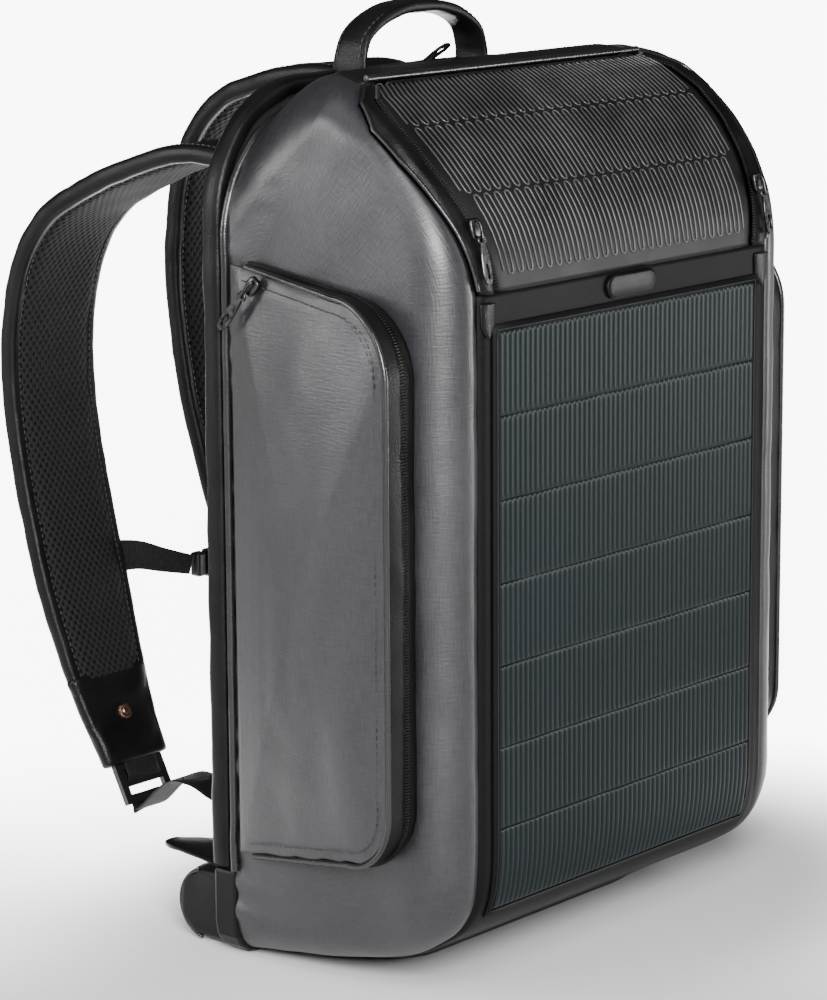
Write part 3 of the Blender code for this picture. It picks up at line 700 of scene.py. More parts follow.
def side_panel(side):
    """A grey side: the rounded edge from the front and top seams, then flat to the rear rim.

    The cloth has some slack, and puckers along the rim's seam.
    """
    label = SIDES[side]
    bottom, top = PROFILE[0][2] + SIDE_LIFT[0], RIM_TOP - RIM_CORNER
    arc_steps, flat_steps = 10, 22
    lines = []
    for k, (_, _, radius, _, _) in enumerate(SAMPLES):
        flat = HALF_WIDTH - radius
        start = math.asin(max(-1.0, (seam_half(k) + SEAM_GAP - flat) / radius))
        line = []
        for turn in between(start, math.pi / 2, arc_steps):
            sunk = SEAM_DIP * math.exp((start - turn) * radius / SEAM_DIP_WIDTH)
            line.append(skin(k, flat + radius * math.sin(turn), -sunk))
        lines.append(line)
    front_foot = BASE_K - 30, BASE_K + 24
    open_out(lines, *front_foot)
    rows = []
    for line, (_, _, _, row, _) in zip(lines, SAMPLES):
        rim = Vector((HALF_WIDTH, SEAM_Y, bottom + (top - bottom) * row / LAST_ROW))
        whole = [*line, *[line[-1].lerp(rim, j / flat_steps) for j in range(1, flat_steps + 1)]]
        rows.append([Vector((side * p.x, p.y, p.z)) for p in whole])
    obj = grid_mesh(f"side_cloth_{label}", rows, (side, 0, 0))

    def slack(p):
        near_rim = math.exp(-max(0.0, SEAM_Y - p.y) / 0.016)
        depth = 0.0011 * near_rim * (0.4 + abs(noise.noise(p * 14)))
        pucker = depth * math.sin(p.z * 310 + 4 * noise.noise(p * 30))
        on_flat = min(1.0, max(0.0, (abs(p.x) - 0.140) / 0.008))
        return pucker + ripple(p, 0.055, 0.0016) * (0.35 + 0.65 * on_flat) + ripple(p, 0.02, 0.0004)

    move_points(obj, slack)
    thicken(obj, 0.0026)
    finish_piece(obj, GREY, "bag", [f"side_panel_{label}"])


def shell():
    """The two grey sides, and the black cloth between them under, before and on top of the bag."""
    def inner(k):
        return seam_half(k) - SEAM_GAP

    for side in (LEFT, RIGHT):
        side_panel(side)
    cloth_across("base_cloth", "base_panel", (0, BASE_K), inner, BLACK, (0, 0, -1))
    cloth_across("front_cloth", "front_panel", (BASE_K, HINGE_K), inner, BLACK, (0, -1, 0),
                 thickness=0.0020)
    ridge = [skin(RIDGE_K + 1, x, 0.0012) for x in between(-0.114, 0.114, 57)]
    tube("ridge_piping", ridge, 0.0019, PIPING, "bag")
    cloth_across("top_cloth", "top_gusset", (RIDGE_K + 1, LAST_K), inner, LEATHER, (0, 0, 1))


shell()


# ---------------------------------------------------------------- solar module
RIBS = 54
RIB_PITCH = SOLAR_HALF * 2 / RIBS


def front_place(z, x, lift):
    """A point lifted off the front at a height z, following the curve at its foot."""
    k = next(i for i in range(BASE_K, HINGE_K) if SAMPLES[i + 1][1] >= z)
    y0, z0, _, _, n0 = SAMPLES[k]
    y1, z1, _, _, n1 = SAMPLES[k + 1]
    part = (z - z0) / (z1 - z0)
    normal = n0.lerp(n1, part).normalized()
    return Vector((x, y0 + (y1 - y0) * part + normal.x * lift, z + normal.y * lift))


def solar_module():
    """Seven strips of ribbed cells on a black backing, with the rows' ends pinched down."""
    low = SOLAR_TOP - CELL_ROWS * CELL_PITCH
    border = 0.004
    half = SOLAR_HALF + border
    heights = between(low - border, SOLAR_TOP + border, 60)
    rows = [[front_place(z, x, 0.0012) for x in between(-half, half, 8)] for z in heights]
    backing = grid_mesh("solar_border", rows, (0, -1, 0))
    thicken(backing, 0.0009)
    finish_piece(backing, BLACK, "bag", ["solar_backing"])
    levels = [0.0, 0.012, 0.03, 0.06, *between(0.1, 0.9, 8), 0.94, 0.97, 0.988, 1.0]
    for row in range(CELL_ROWS):
        ceiling = SOLAR_TOP - row * CELL_PITCH - 0.0004
        floor = ceiling - CELL_PITCH + 0.0008
        rows = []
        for t in levels:
            z = floor + (ceiling - floor) * t
            pinch = min(1.0, min(t, 1 - t) / 0.035) ** 0.5
            line = []
            for x in between(-SOLAR_HALF, SOLAR_HALF, RIBS * 6):
                wave = abs(math.sin(math.pi * (x + SOLAR_HALF) / RIB_PITCH)) ** 0.9
                wander = 0.0003 * noise.noise(Vector((x * 60, row * 3.1, 0.5))) * (1 - pinch)
                line.append(front_place(min(z + wander, SOLAR_TOP), x, 0.0017 + pinch * 0.0005 * wave))
            rows.append(line)
        cells = grid_mesh(f"cell_strip_{row + 1}", rows, (0, -1, 0))
        finish_piece(cells, CELLS, "bag", [f"solar_cell_row_{row + 1}"])
    rim = 0.0012
    edge, foot, head = SOLAR_HALF + rim, low - rim, SOLAR_TOP + rim
    corners = [(-edge, foot), (edge, foot), (edge, head), (-edge, head)]
    outline = []
    for (xa, za), (xb, zb) in zip(corners, [*corners[1:], corners[0]]):
        places = zip(between(za, zb, 24)[:-1], between(xa, xb, 24)[:-1])
        outline += [front_place(z, x, 0.0016) for z, x in places]
    tube("solar_film_edge", outline, 0.0005, LID, "bag", loop=True, sides=2,
         stands_for=["solar_clear_film"])


solar_module()


# ---------------------------------------------------------------- top flap
LINE_PITCH = 0.0039
LINE_ROWS = ((0.008, 0.0512), (0.0526, 0.0956), (0.0970, 0.131))


def flap_place(distance, x, lift):
    """A point on the flap at a distance up from its fold line."""
    k = min(HINGE_K + distance / STEP, RIDGE_K - 1.001)
    i = int(k)
    return skin(i, x, lift).lerp(skin(i + 1, x, lift), k - i)


def flap_width(distance):
    """Half the flap's width at a distance up from its fold line."""
    k = int(min(HINGE_K + distance / STEP, RIDGE_K - 1))
    return flap_half(k)


def meander(name, start, end):
    """One row of embossed line: long runs up and down the flap, joined by small half turns."""
    def place(d, x):
        spread = 1 + 0.5 * (flap_width(d) / flap_width(start) - 1)
        return flap_place(d, x * spread, 0.0002)

    points = []
    count = int(2 * (flap_width(start) - 0.003) / LINE_PITCH) // 2 * 2
    turn = LINE_PITCH / 2
    for i in range(count):
        x = turn - count * turn + i * LINE_PITCH
        tip, base, way = (end, start, 1) if i % 2 == 0 else (start, end, -1)
        points += [place(d, x) for d in between(base + way * turn, tip - way * turn, 12)]
        if i < count - 1:
            for angle in (45, 90, 135):
                a = math.radians(angle)
                points.append(place(tip - way * turn * (1 - math.sin(a)), x + turn - turn * math.cos(a)))
    tube(name, points, 0.00052, RIB, "top_flap", sides=1)


def top_flap():
    """The flap with its embossed lines, and the leatherette bands of the zips round it."""
    cloth_across("flap_cloth", "top_flap", (HINGE_K, RIDGE_K - 1), flap_half, LID, (0, -1, 1), "top_flap",
                 columns=56, dip=0.0014, thickness=0.0034)
    for number, (start, end) in enumerate(LINE_ROWS):
        meander(f"flap_emboss_{number + 1}", start, end)
    for side in (LEFT, RIGHT):
        label = SIDES[side]
        rows = []
        for k in range(HINGE_K, RIDGE_K):
            inner, outer = flap_half(k) + 0.0012, seam_half(k) - 0.0010
            line = []
            for t in between(0, 1, 10):
                swell = 0.0022 * math.sin(math.pi * t) ** 0.7 - 0.0006
                line.append(skin(k, side * (inner + (outer - inner) * t), swell))
            rows.append(line)
        band = grid_mesh(f"flap_band_{label}", rows, (side * 0.5, -1, 1))
        move_points(band, lambda p: ripple(p, 0.02, 0.0012) + ripple(p, 0.007, 0.0004))
        thicken(band, 0.0018)
        finish_piece(band, LEATHER, "top_flap", [f"flap_zip_{label}"])
        line = [skin(k, side * (flap_half(k) + SEAM_GAP), 0.0006) for k in range(HINGE_K + 1, RIDGE_K - 1)]
        zip_teeth(f"flap_coil_{label}", line, (side * 0.4, -1, 0.6), "top_flap")
        edge = [skin(k, side * (seam_half(k) - SEAM_GAP), 0.0004) for k in range(HINGE_K + 1, RIDGE_K)]
        tube(f"flap_piping_{label}", edge, 0.0012, PIPING, "top_flap")
    rear = [skin(RIDGE_K - 1, x, 0.0006) for x in between(-0.102, 0.102, 51)]
    zip_teeth("flap_coil_rear", rear, (0, 0, 1), "top_flap")


top_flap()


# ---------------------------------------------------------------- side pockets
POCKET_FALL, POCKET_RISE = 0.13, 0.17
POCKET_HEAD, POCKET_FOOT = 0.37, 0.075
POCKET_MIDDLE = Vector((-0.002, 0.222))


def pocket_top(y):
    """Height of the pocket's sloping top edge."""
    return 0.380 - POCKET_FALL * (POCKET_REAR_Y - y)


def pocket_low(y):
    """Height of the pocket's sloping lower edge."""
    return 0.062 + POCKET_RISE * (POCKET_REAR_Y - y)


def pocket_outline(offset):
    """(y, z) round the pocket, from its rear top corner forward, down and back to its rear foot."""
    front, rear = POCKET_FRONT_Y - offset, POCKET_REAR_Y
    r_top, r_low = 0.040 + offset, 0.032 + offset
    fall, rise = math.degrees(math.atan(POCKET_FALL)), math.degrees(math.atan(POCKET_RISE))
    upper_centre = (front + r_top, pocket_top(front + r_top) + offset - r_top)
    lower_centre = (front + r_low, pocket_low(front + r_low) - offset + r_low)
    upper = arc(upper_centre, r_top, 90 + fall, 180, 14)
    lower = arc(lower_centre, r_low, 180, 270 - rise, 14)
    top_run = [(y, pocket_top(y) + offset) for y in between(rear, upper[0][0], 14)[:-1]]
    low_run = [(y, pocket_low(y) - offset) for y in between(lower[-1][0], rear, 16)[1:]]
    face = [(front, z) for z in between(upper[-1][1], lower[0][1], 30)[1:-1]]
    return [*top_run, *upper, *face, *lower, *low_run]


def pocket_stand(y):
    """How far the pocket's rim stands off the bag's side."""
    return 0.0040 + 0.018 * (POCKET_REAR_Y - y) / (POCKET_REAR_Y - POCKET_FRONT_Y)


def pocket_face(side):
    """The pocket's grey face: crowned and slack, with a turned-in edge."""
    label = SIDES[side]
    outline = pocket_outline(-0.0012)
    rows = []
    for scale in (1.0, 1.0, 0.985, 0.96, *between(0.93, 0.0, 18)):
        turned = 0.0 if rows else 0.0022
        rise = 0.010 * (1 - max(scale, 0.0) ** 2.4)
        line = []
        for p in outline:
            y, z = POCKET_MIDDLE + (Vector(p) - POCKET_MIDDLE) * scale
            line.append(Vector((side * (HALF_WIDTH + pocket_stand(y) + rise - turned), y, z)))
        rows.append(line)
    panel = grid_mesh(f"pocket_cloth_{label}", rows, (side, 0, 0), loop=True, uv=lambda p: (p.y, p.z))

    def slack(p):
        edge = min(abs(p.y - POCKET_FRONT_Y), abs(p.z - POCKET_HEAD), abs(p.z - POCKET_FOOT))
        pucker = 0.0006 * math.exp(-edge / 0.007) * math.sin((p.y + p.z) * 950 + 3 * noise.noise(p * 40))
        slanted = Vector((p.x, p.y * 1.5 + p.z * 0.2, p.z * 0.4))
        crease = ripple(slanted, 0.045, 0.0014) * min(1.0, edge / 0.02)
        return pucker + crease + ripple(p, 0.016, 0.0005)

    move_points(panel, slack)
    thicken(panel, 0.0022)
    finish_piece(panel, GREY, f"side_pocket_{label}", [f"pocket_panel_{label}"])


def pocket_wall(side):
    """The zip band behind the pocket's face, which stops short of its rear fold, and its trims."""
    label = SIDES[side]
    body = f"side_pocket_{label}"
    gap = 0.0006
    foot, rim = pocket_outline(0.0010), pocket_outline(0.0006)
    keep = [i for i, (y, _) in enumerate(foot) if y < POCKET_REAR_Y - 0.010]
    rows = []
    for t in between(0, 1, 8):
        line = []
        for i in keep:
            (ya, za), (yb, zb) = foot[i], rim[i]
            y, z = ya + (yb - ya) * t, za + (zb - za) * t
            out = (Vector((y, z)) - POCKET_MIDDLE).normalized() * 0.0014 * math.sin(math.pi * t)
            stand = gap + (pocket_stand(y) - gap) * t
            line.append(Vector((side * (HALF_WIDTH + stand), y + out.x, z + out.y)))
        rows.append(line)
    wall = grid_mesh(f"pocket_band_{label}", rows, (0, -1, 0))
    move_points(wall, lambda p: ripple(p, 0.02, 0.0006))
    thicken(wall, 0.0016)
    finish_piece(wall, LEATHER, body, [f"pocket_zip_{label}"])

    def line_round(offset, share, lift):
        places = [pocket_outline(offset)[i] for i in keep]
        return [Vector((side * (HALF_WIDTH + pocket_stand(y) * share + lift), y, z)) for y, z in places]

    def facing(p):
        return Vector((0, p.y - POCKET_MIDDLE.x, (p.z - POCKET_MIDDLE.y) * 0.35)).normalized()

    piping = line_round(0.0006, 1, -0.0002)
    tube(f"pocket_piping_{label}", piping, 0.0016, PIPING, body)
    zip_teeth(f"pocket_coil_{label}", line_round(0.0026, 0.42, 0), facing, body)
    stitches(f"pocket_stitch_{label}", line_round(-0.0065, 1, 0.0021), (side, 0, 0), body)


for which in (LEFT, RIGHT):
    pocket_face(which)
    pocket_wall(which)


# ---------------------------------------------------------------- rear rim, main zip and back panel
def arch(half, top, corner, low):
    """An arch outline (x, z) from its right foot over the top to its left foot."""
    leg = [(half, z) for z in between(low, top - corner, 36)[:-1]]
    right = [*leg, *arc((half - corner, top - corner), corner, 0, 90, 16)]
    across = [(x, top) for x in between(half - corner, corner - half, 16)[1:-1]]
    return [*right, *across, *[(-x, z) for x, z in reversed(right)]]


def arch_line(y, *shape):
    """An arch as points at one distance behind the middle."""
    return [Vector((x, y, z)) for x, z in arch(*shape)]


def band_round(name, outer, inner, section, look, body, stands_for, low=FOLD_Z + 0.001, uneven=0.0):
    """A rounded band along the rear rim. section is its outline, as (share from outer to inner, y)."""
    out_line, in_line = arch(*outer, low), arch(*inner, low)
    rows = []
    for (xo, zo), (xi, zi) in zip(out_line, in_line):
        rows.append([Vector((xo + (xi - xo) * t, y, zo + (zi - zo) * t)) for t, y in section])
    obj = grid_mesh(name, rows, loop=True, caps=True)
    if uneven:
        move_points(obj, lambda p: ripple(p, 0.018, uneven))
    return finish_piece(obj, look, body, stands_for)


def oval(near, far, steps):
    """A rounded-rectangle outline as (share, y), shares from 0 to 1."""
    middle, depth = (near + far) / 2, far - near
    return [(0.5 - a, middle + b * depth) for a, b in pad_outline(1.0, 1.0, 3.0, steps)]


def rim_shape(inset):
    """Half width, height and corner radius of the rear rim, inset all round."""
    return HALF_WIDTH - inset, RIM_TOP - inset, RIM_CORNER - inset


def back_shape(inset):
    """Half width, height and corner radius of the back panel, inset all round."""
    return HALF_WIDTH - inset, BACK_TOP - inset, BACK_CORNER - inset


def zip_facing(p):
    """Outwards from the main zip: sideways along its legs, and up over its top."""
    sideways = math.copysign(1, p.x) if abs(p.x) > 0.08 else p.x * 2
    return Vector((sideways, 0, 1 if p.z > 0.39 else 0)).normalized()


def rear_rim():
    """The side panels' rear piping, the main zip, and the binding round the back panel."""
    puffed = []
    for p in arch_line(SEAM_Y + 0.0004, HALF_WIDTH + 0.0002, RIM_TOP + 0.0002, RIM_CORNER, FOLD_Z):
        wobble = 0.0007 * noise.noise(p * 45)
        puffed.append(p + Vector((math.copysign(wobble, p.x), wobble, wobble)))
    tube("rim_piping", puffed, 0.0024, PIPING, "bag")
    tape = oval(SEAM_Y + 0.0008, BOARD_Y - 0.0008, 12)
    band_round("main_zip_tape", rim_shape(0.0022), rim_shape(0.0068), tape, BLACK, "bag",
               ["main_zip"], low=FOLD_Z)
    coil = arch_line((SEAM_Y + BOARD_Y) / 2, *rim_shape(0.0022), FOLD_Z)
    zip_teeth("main_coil", coil, zip_facing, "bag")
    outer = (HALF_WIDTH + 0.0008, BACK_TOP + 0.0006, BACK_CORNER)
    edge = oval(BOARD_Y, BACK_Y + 0.0012, 20)
    band_round("back_binding_band", outer, back_shape(0.0085), edge, LEATHER, "back_panel",
               ["back_binding"], uneven=0.0009)
    rear_line = arch_line(BACK_Y + 0.0004, *back_shape(0.0082), FOLD_Z + 0.003)
    stitches("binding_stitch", rear_line, (0, 1, 0), "back_panel")


def air_pad(side):
    """A foam pad on the back board: a crowned face pinched by two sewn channels across it."""
    label = SIDES[side]
    x0, x1 = sorted((side * 0.016, side * 0.118))
    z0, z1 = 0.088, 0.390
    foot = BACK_Y - 0.0030
    rows = []
    for z in between(z0, z1, 76):
        line = []
        for x in between(x0, x1, 26):
            edge = min(x - x0, x1 - x)
            end = min(z - z0, z1 - z)
            crown = min(1.0, edge / 0.007) ** 0.6 * min(1.0, end / 0.009) ** 0.6
            line.append(Vector((x, BACK_Y - 0.0025 + 0.0105 * crown, z)))
        rows.append([*line, *[Vector((p.x, foot, p.z)) for p in reversed(line)]])
    pad = grid_mesh(f"air_pad_{label}", rows, loop=True, caps=True)
    inflate(pad, 0.0045, 0.004, lambda p: p.y < BACK_Y - 0.001)
    for vert in pad.data.vertices:
        height = vert.co.y - (BACK_Y - 0.0028)
        for channel in (0.34, 0.67):
            gap = (vert.co.z - z0 - (z1 - z0) * channel) / 0.0042
            vert.co.y -= height * 0.55 * math.exp(-gap * gap)
    flat_uv(pad)
    finish_piece(pad, MESH, "back_panel", [f"back_pad_{label}"])
    inset = 0.004
    outline = rounded_loop(x0 + inset, z0 + inset, x1 - inset, z1 - inset, 0.012)
    piping = [Vector((x, BACK_Y - 0.0018, z)) for x, z in outline]
    tube(f"air_pad_piping_{label}", piping, 0.0024, LEATHER, "back_panel", loop=True)


def rounded_loop(x0, z0, x1, z1, radius):
    """A closed outline round a rectangle with round corners."""
    left, right, foot, head = x0 + radius, x1 - radius, z0 + radius, z1 - radius
    made = []
    for centre, start in (((left, foot), 180), ((right, foot), 270), ((right, head), 0), ((left, head), 90)):
        made += arc(centre, radius, start, start + 90, 6)
    return made


def back_panel():
    """The air pads, and the looks of the CAD solids that show or lie inside."""
    for side in (LEFT, RIGHT):
        air_pad(side)
    paint("back_board", BOARD_CLOTH)
    paint("laptop_sleeve", LINING)
    paint("compartment_divider", LINING)
    paint("charge_regulator", PLASTIC)
    paint("usb_port", PLASTIC)
    paint("lower_back_panel", LEATHER)


def lumbar_roll():
    """The rolled pad across the foot of the back: a D in section, flat below and where it is sewn on."""
    half = 0.1395
    seam_y = BACK_Y + 0.0008
    outline = [(seam_y, 0.0006), *arc((0.1008, 0.0222), 0.0216, -88, 74, 22), (seam_y, 0.0444)]
    outline += [(seam_y, 0.0444 - 0.0438 * k / 8) for k in range(1, 8)]
    count = 90
    rows = []
    for i in range(count + 1):
        x = -half + 2 * half * i / count
        end = min(i, count - i) / count * 2 * half
        full = 0.955 + 0.045 * min(1.0, end / 0.005) ** 0.5
        line = []
        for y, z in outline:
            line.append(Vector((x, seam_y + (y - seam_y) * full, 0.0006 + (z - 0.0006) * full)))
        rows.append(line)
    roll = grid_mesh("lumbar_roll_pad", rows, loop=True, caps=True)
    inflate(roll, 0.0045, 0.003, lambda p: p.y < BACK_Y + 0.0035 or p.z < 0.003 or abs(p.x) > 0.137)
    for vert in roll.data.vertices:
        vert.co.z = max(vert.co.z, 0.0003)
    move_points(roll, lambda p: ripple(p, 0.028, 0.0014) * min(1.0, p.z / 0.01))
    finish_piece(roll, LEATHER, "bag", ["lumbar_roll"])
    rounded_face = arc((0.1000, 0.0214), 0.0194, -80, 76, 20)
    for side in (LEFT, RIGHT):
        edge = [Vector((side * (half - 0.0014), y, z)) for y, z in rounded_face]
        tube(f"lumbar_piping_{SIDES[side]}", edge, 0.0010, PIPING, "bag")


rear_rim()
back_panel()
lumbar_roll()


# ---------------------------------------------------------------- handle
def handle():
    """The padded carry handle: an arch whose grip is thickest in the middle, stitched along both edges."""
    foot_y, foot_z = 0.0665, 0.4785
    half_arch = [(-0.0508, -0.0105), (-0.050, 0.0), (-0.0445, 0.0115), (-0.0265, 0.0210)]
    rise = [*half_arch, (0.0, 0.0245), *[(-x, z) for x, z in reversed(half_arch)]]
    centres = curve_through([(x, foot_y, foot_z + z) for x, z in rise], 8)
    last = len(centres) - 1

    def section(k):
        middle = math.sin(math.pi * k / last)
        return pad_outline(0.0235 - 0.003 * middle, 0.0042 + 0.0034 * middle ** 2, 3.2, 24)

    def away_from_hub(p):
        return (p - hub).normalized()

    grip = sweep("handle_grip", centres, Vector((0, 1, 0)), section)
    move_points(grip, lambda p: ripple(p, 0.014, 0.0007))
    finish_piece(soften(grip), LEATHER, "handle", ["carry_handle"])
    hub = Vector((0, foot_y, foot_z - 0.02))
    for edge, label in ((-1, "front"), (1, "rear")):
        line = []
        for c in centres[8:-8]:
            line.append(c + Vector((0, edge * 0.0078, 0)) + away_from_hub(c) * 0.0028)
        stitches(f"handle_stitch_{label}", line, away_from_hub, "handle")


handle()


# ---------------------------------------------------------------- shoulder straps
# (y, z) of each strap's middle line, from its anchor; the left one hangs low and the right one stands higher
STRAP_PATHS = {
    LEFT: [(0.0935, 0.4110), (0.122, 0.4215), (0.160, 0.4235), (0.200, 0.4120), (0.234, 0.3980),
           (0.262, 0.3820), (0.282, 0.3560), (0.293, 0.3200), (0.295, 0.2800), (0.289, 0.2350),
           (0.277, 0.1850), (0.262, 0.1350), (0.247, 0.0950), (0.231, 0.0640)],
    RIGHT: [(0.0935, 0.4110), (0.118, 0.4365), (0.149, 0.4570), (0.185, 0.4565), (0.214, 0.4495),
            (0.2385, 0.4400), (0.259, 0.4210), (0.273, 0.3920), (0.279, 0.3540), (0.2785, 0.3150),
            (0.269, 0.2590), (0.254, 0.2100), (0.240, 0.1640), (0.229, 0.1330), (0.218, 0.1050)],
}
# (distance from the middle, y, z) from the foot of the back up to the ladder lock
WEBBING_PATHS = {
    LEFT: [(0.094, 0.0870, 0.0600), (0.0935, 0.105, 0.0615), (0.088, 0.130, 0.0655),
           (0.077, 0.160, 0.0670), (0.067, 0.188, 0.0605)],
    RIGHT: [(0.094, 0.0870, 0.0600), (0.0935, 0.105, 0.0640), (0.088, 0.130, 0.0730),
            (0.077, 0.155, 0.0840), (0.067, 0.177, 0.0910)],
}
CHEST_PATH = [(-0.0290, 0.2765, 0.1722), (-0.0150, 0.2700, 0.1715), (-0.0040, 0.2600, 0.1680),
              (0.0070, 0.2475, 0.1650)]
ACROSS = Vector((1, 0, 0))


class Strap:
    """One shoulder strap: its middle line and its width, thickness and outer facing along it."""

    def __init__(self, side):
        self.side = side
        self.label = SIDES[side]
        self.body = f"shoulder_strap_{self.label}"
        self.centres = curve_through([(side * STRAP_X, y, z) for y, z in STRAP_PATHS[side]], 10)
        self.last = len(self.centres) - 1
        self.cuff = int(self.last * 0.885)
        self.outs = []
        for k in range(self.last + 1):
            ahead = self.centres[min(k + 1, self.last)] - self.centres[max(k - 1, 0)]
            self.outs.append(ACROSS.cross(ahead).normalized())

    def width(self, k):
        """Wider below the anchor, and tapered towards the cuff."""
        share = k / self.last
        return 0.052 + 0.014 * min(1, 4 * share) - 0.020 * max(0, (share - 0.80) / 0.20)

    def thick(self, k):
        """Fullest in the middle of the strap."""
        return 0.0085 + 0.0035 * math.sin(math.pi * min(1.0, k / self.last * 1.12)) ** 0.5

    def at(self, k, across, out):
        """A point off the middle line, sideways and outwards."""
        return self.centres[k] + ACROSS * across + self.outs[k] * out


def strap_body(strap):
    """The padded strap: smooth outside, spacer mesh inside, bound along both edges."""
    def section(k):
        return pad_outline(strap.width(k), strap.thick(k), 3.6, 28)

    label, body = strap.label, strap.body
    padding = sweep(f"strap_body_{label}", strap.centres, ACROSS, section)
    move_points(padding, lambda p: ripple(p, 0.03, 0.0012) + ripple(p, 0.010, 0.0004))
    finish_piece(padding, STRAP_CLOTH, body, [f"shoulder_strap_{label}"])
    reach = range(3, strap.cuff + 2)
    rows = []
    for k in reach:
        half = strap.width(k) / 2 - 0.0060
        line = []
        for across in between(-half, half, 16):
            edge = half - abs(across)
            puff = 0.0020 * (1 - math.exp(-edge / 0.0035))
            line.append(strap.at(k, across, -strap.thick(k) * 0.47 - puff))
        rows.append(line)
    lining = grid_mesh(f"strap_mesh_{label}", rows, tuple(-strap.outs[strap.last // 2]))
    move_points(lining, lambda p: ripple(p, 0.022, 0.0008))
    thicken(lining, 0.0012)
    finish_piece(lining, MESH, body)
    for edge in (-1, 1):
        name = "outer" if edge == strap.side else "inner"
        line = [strap.at(k, edge * (strap.width(k) / 2 - 0.0032), 0) for k in range(1, strap.last)]

        def bound(k):
            return pad_outline(0.0086, strap.thick(k + 1) * 0.90 + 0.0006, 2.6, 16)

        binding = sweep(f"strap_binding_{name}_{label}", line, ACROSS, bound)
        move_points(binding, lambda p: ripple(p, 0.011, 0.0005))
        finish_piece(binding, LEATHER, body)
        for face, facing in ((1, "out"), (-1, "in")):
            seam = []
            for k in reach:
                across, out = strap.width(k) / 2 - 0.0050, strap.thick(k) * 0.45 + 0.0003
                seam.append(strap.at(k, edge * across, face * out))
            facings = [strap.outs[k] * face for k in reach]
            stitches(f"strap_seam_{name}_{facing}_{label}", seam, facings, body,
                     pitch=0.0038, length=0.0024)


def strap_root(strap):
    """The sewn root of the strap, which bends between the back board and the strap."""
    first = strap.centres[0]
    seat = Vector((first.x, BACK_Y - 0.0006, first.z - 0.005))
    path = curve_through([seat, seat.lerp(first, 0.5), first, strap.centres[3]], 6)
    size = strap.width(0) - 0.003, strap.thick(0) * 0.75
    root = sweep(f"strap_root_{strap.label}", path, ACROSS, lambda k: pad_outline(*size, 3.6, 24))
    finish_piece(root, LEATHER, None)
    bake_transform(root)


def strap_cuff(strap):
    """The leatherette end of the strap, with its rivet and the webbing loop that holds the ladder lock."""
    first, last = strap.cuff, strap.last
    tip = strap.centres[-1] + (strap.centres[-1] - strap.centres[-2]).normalized() * 0.0016
    centres = [*strap.centres[first:], tip]

    def section(k):
        at = min(first + k, last)
        grow = 0.0024 + 0.0014 * math.exp(-k / 1.5)
        return pad_outline(strap.width(at) + grow, strap.thick(at) + grow, 3.4, 32)

    cuff = sweep(f"strap_cuff_{strap.label}", centres, ACROSS, section)
    move_points(cuff, lambda p: ripple(p, 0.016, 0.0016) + ripple(p, 0.006, 0.0005))
    finish_piece(soften(cuff), LEATHER, strap.body, [f"strap_patch_{strap.label}"])
    spot = int(last * 0.940)
    depth = strap.thick(spot) / 2 + 0.0014
    for face, name in ((-1, "inner"), (1, "outer")):
        centre, outward = strap.at(spot, 0, face * depth), strap.outs[spot] * face
        rivet(f"strap_rivet_{name}_{strap.label}", centre, outward, strap.body)
    end, out = strap.centres[-1], strap.outs[-1]
    along = (strap.centres[-1] - strap.centres[-3]).normalized()
    half_loop = [(-0.004, -0.0032), (0.004, -0.0030), (0.0095, -0.0026)]
    loop = [*half_loop, (0.0128, 0.0), *[(a, -b) for a, b in reversed(half_loop)]]
    path = curve_through([end + along * a + out * b for a, b in loop], 5)
    band = sweep(f"lock_loop_{strap.label}", path, ACROSS, lambda k: pad_outline(0.0255, 0.0013, 5.0, 12))
    finish_piece(band, WEBBING, strap.body)
    paint(f"ladder_lock_{strap.label}", PLASTIC)


def rivet(name, centre, outward, body, scale=1.0, look=COPPER):
    """A domed cap with a sunken ring."""
    profile = [(0.0, 0.0016), (0.0016, 0.0015), (0.0022, 0.0009), (0.0030, 0.0012), (0.0040, 0.0014),
               (0.0047, 0.0006), (0.0048, -0.0012)]
    side = outward.orthogonal().normalized()
    other = outward.cross(side)
    rows = []
    for radius, height in profile:
        ring = []
        for k in range(24):
            a = math.tau * k / 24
            beside = side * math.cos(a) + other * math.sin(a)
            ring.append(centre + beside * radius * scale + outward * height * scale)
        rows.append(ring)
    cap = grid_mesh(name, rows, tuple(outward), loop=True)
    finish_piece(cap, look, body)


def lock_bar(strap):
    """The middle of the ladder lock's lower bar, and the strap's direction there."""
    end = strap.centres[-1]
    along = (end - strap.centres[-3]).normalized()
    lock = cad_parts[f"ladder_lock_{strap.label}"]
    points = [lock.matrix_world @ vert.co for vert in lock.data.vertices]
    reach = max((p - end).dot(along) for p in points)
    bar = [p for p in points if (p - end).dot(along) > reach - 0.0045]
    return sum(bar, Vector()) / len(bar), along


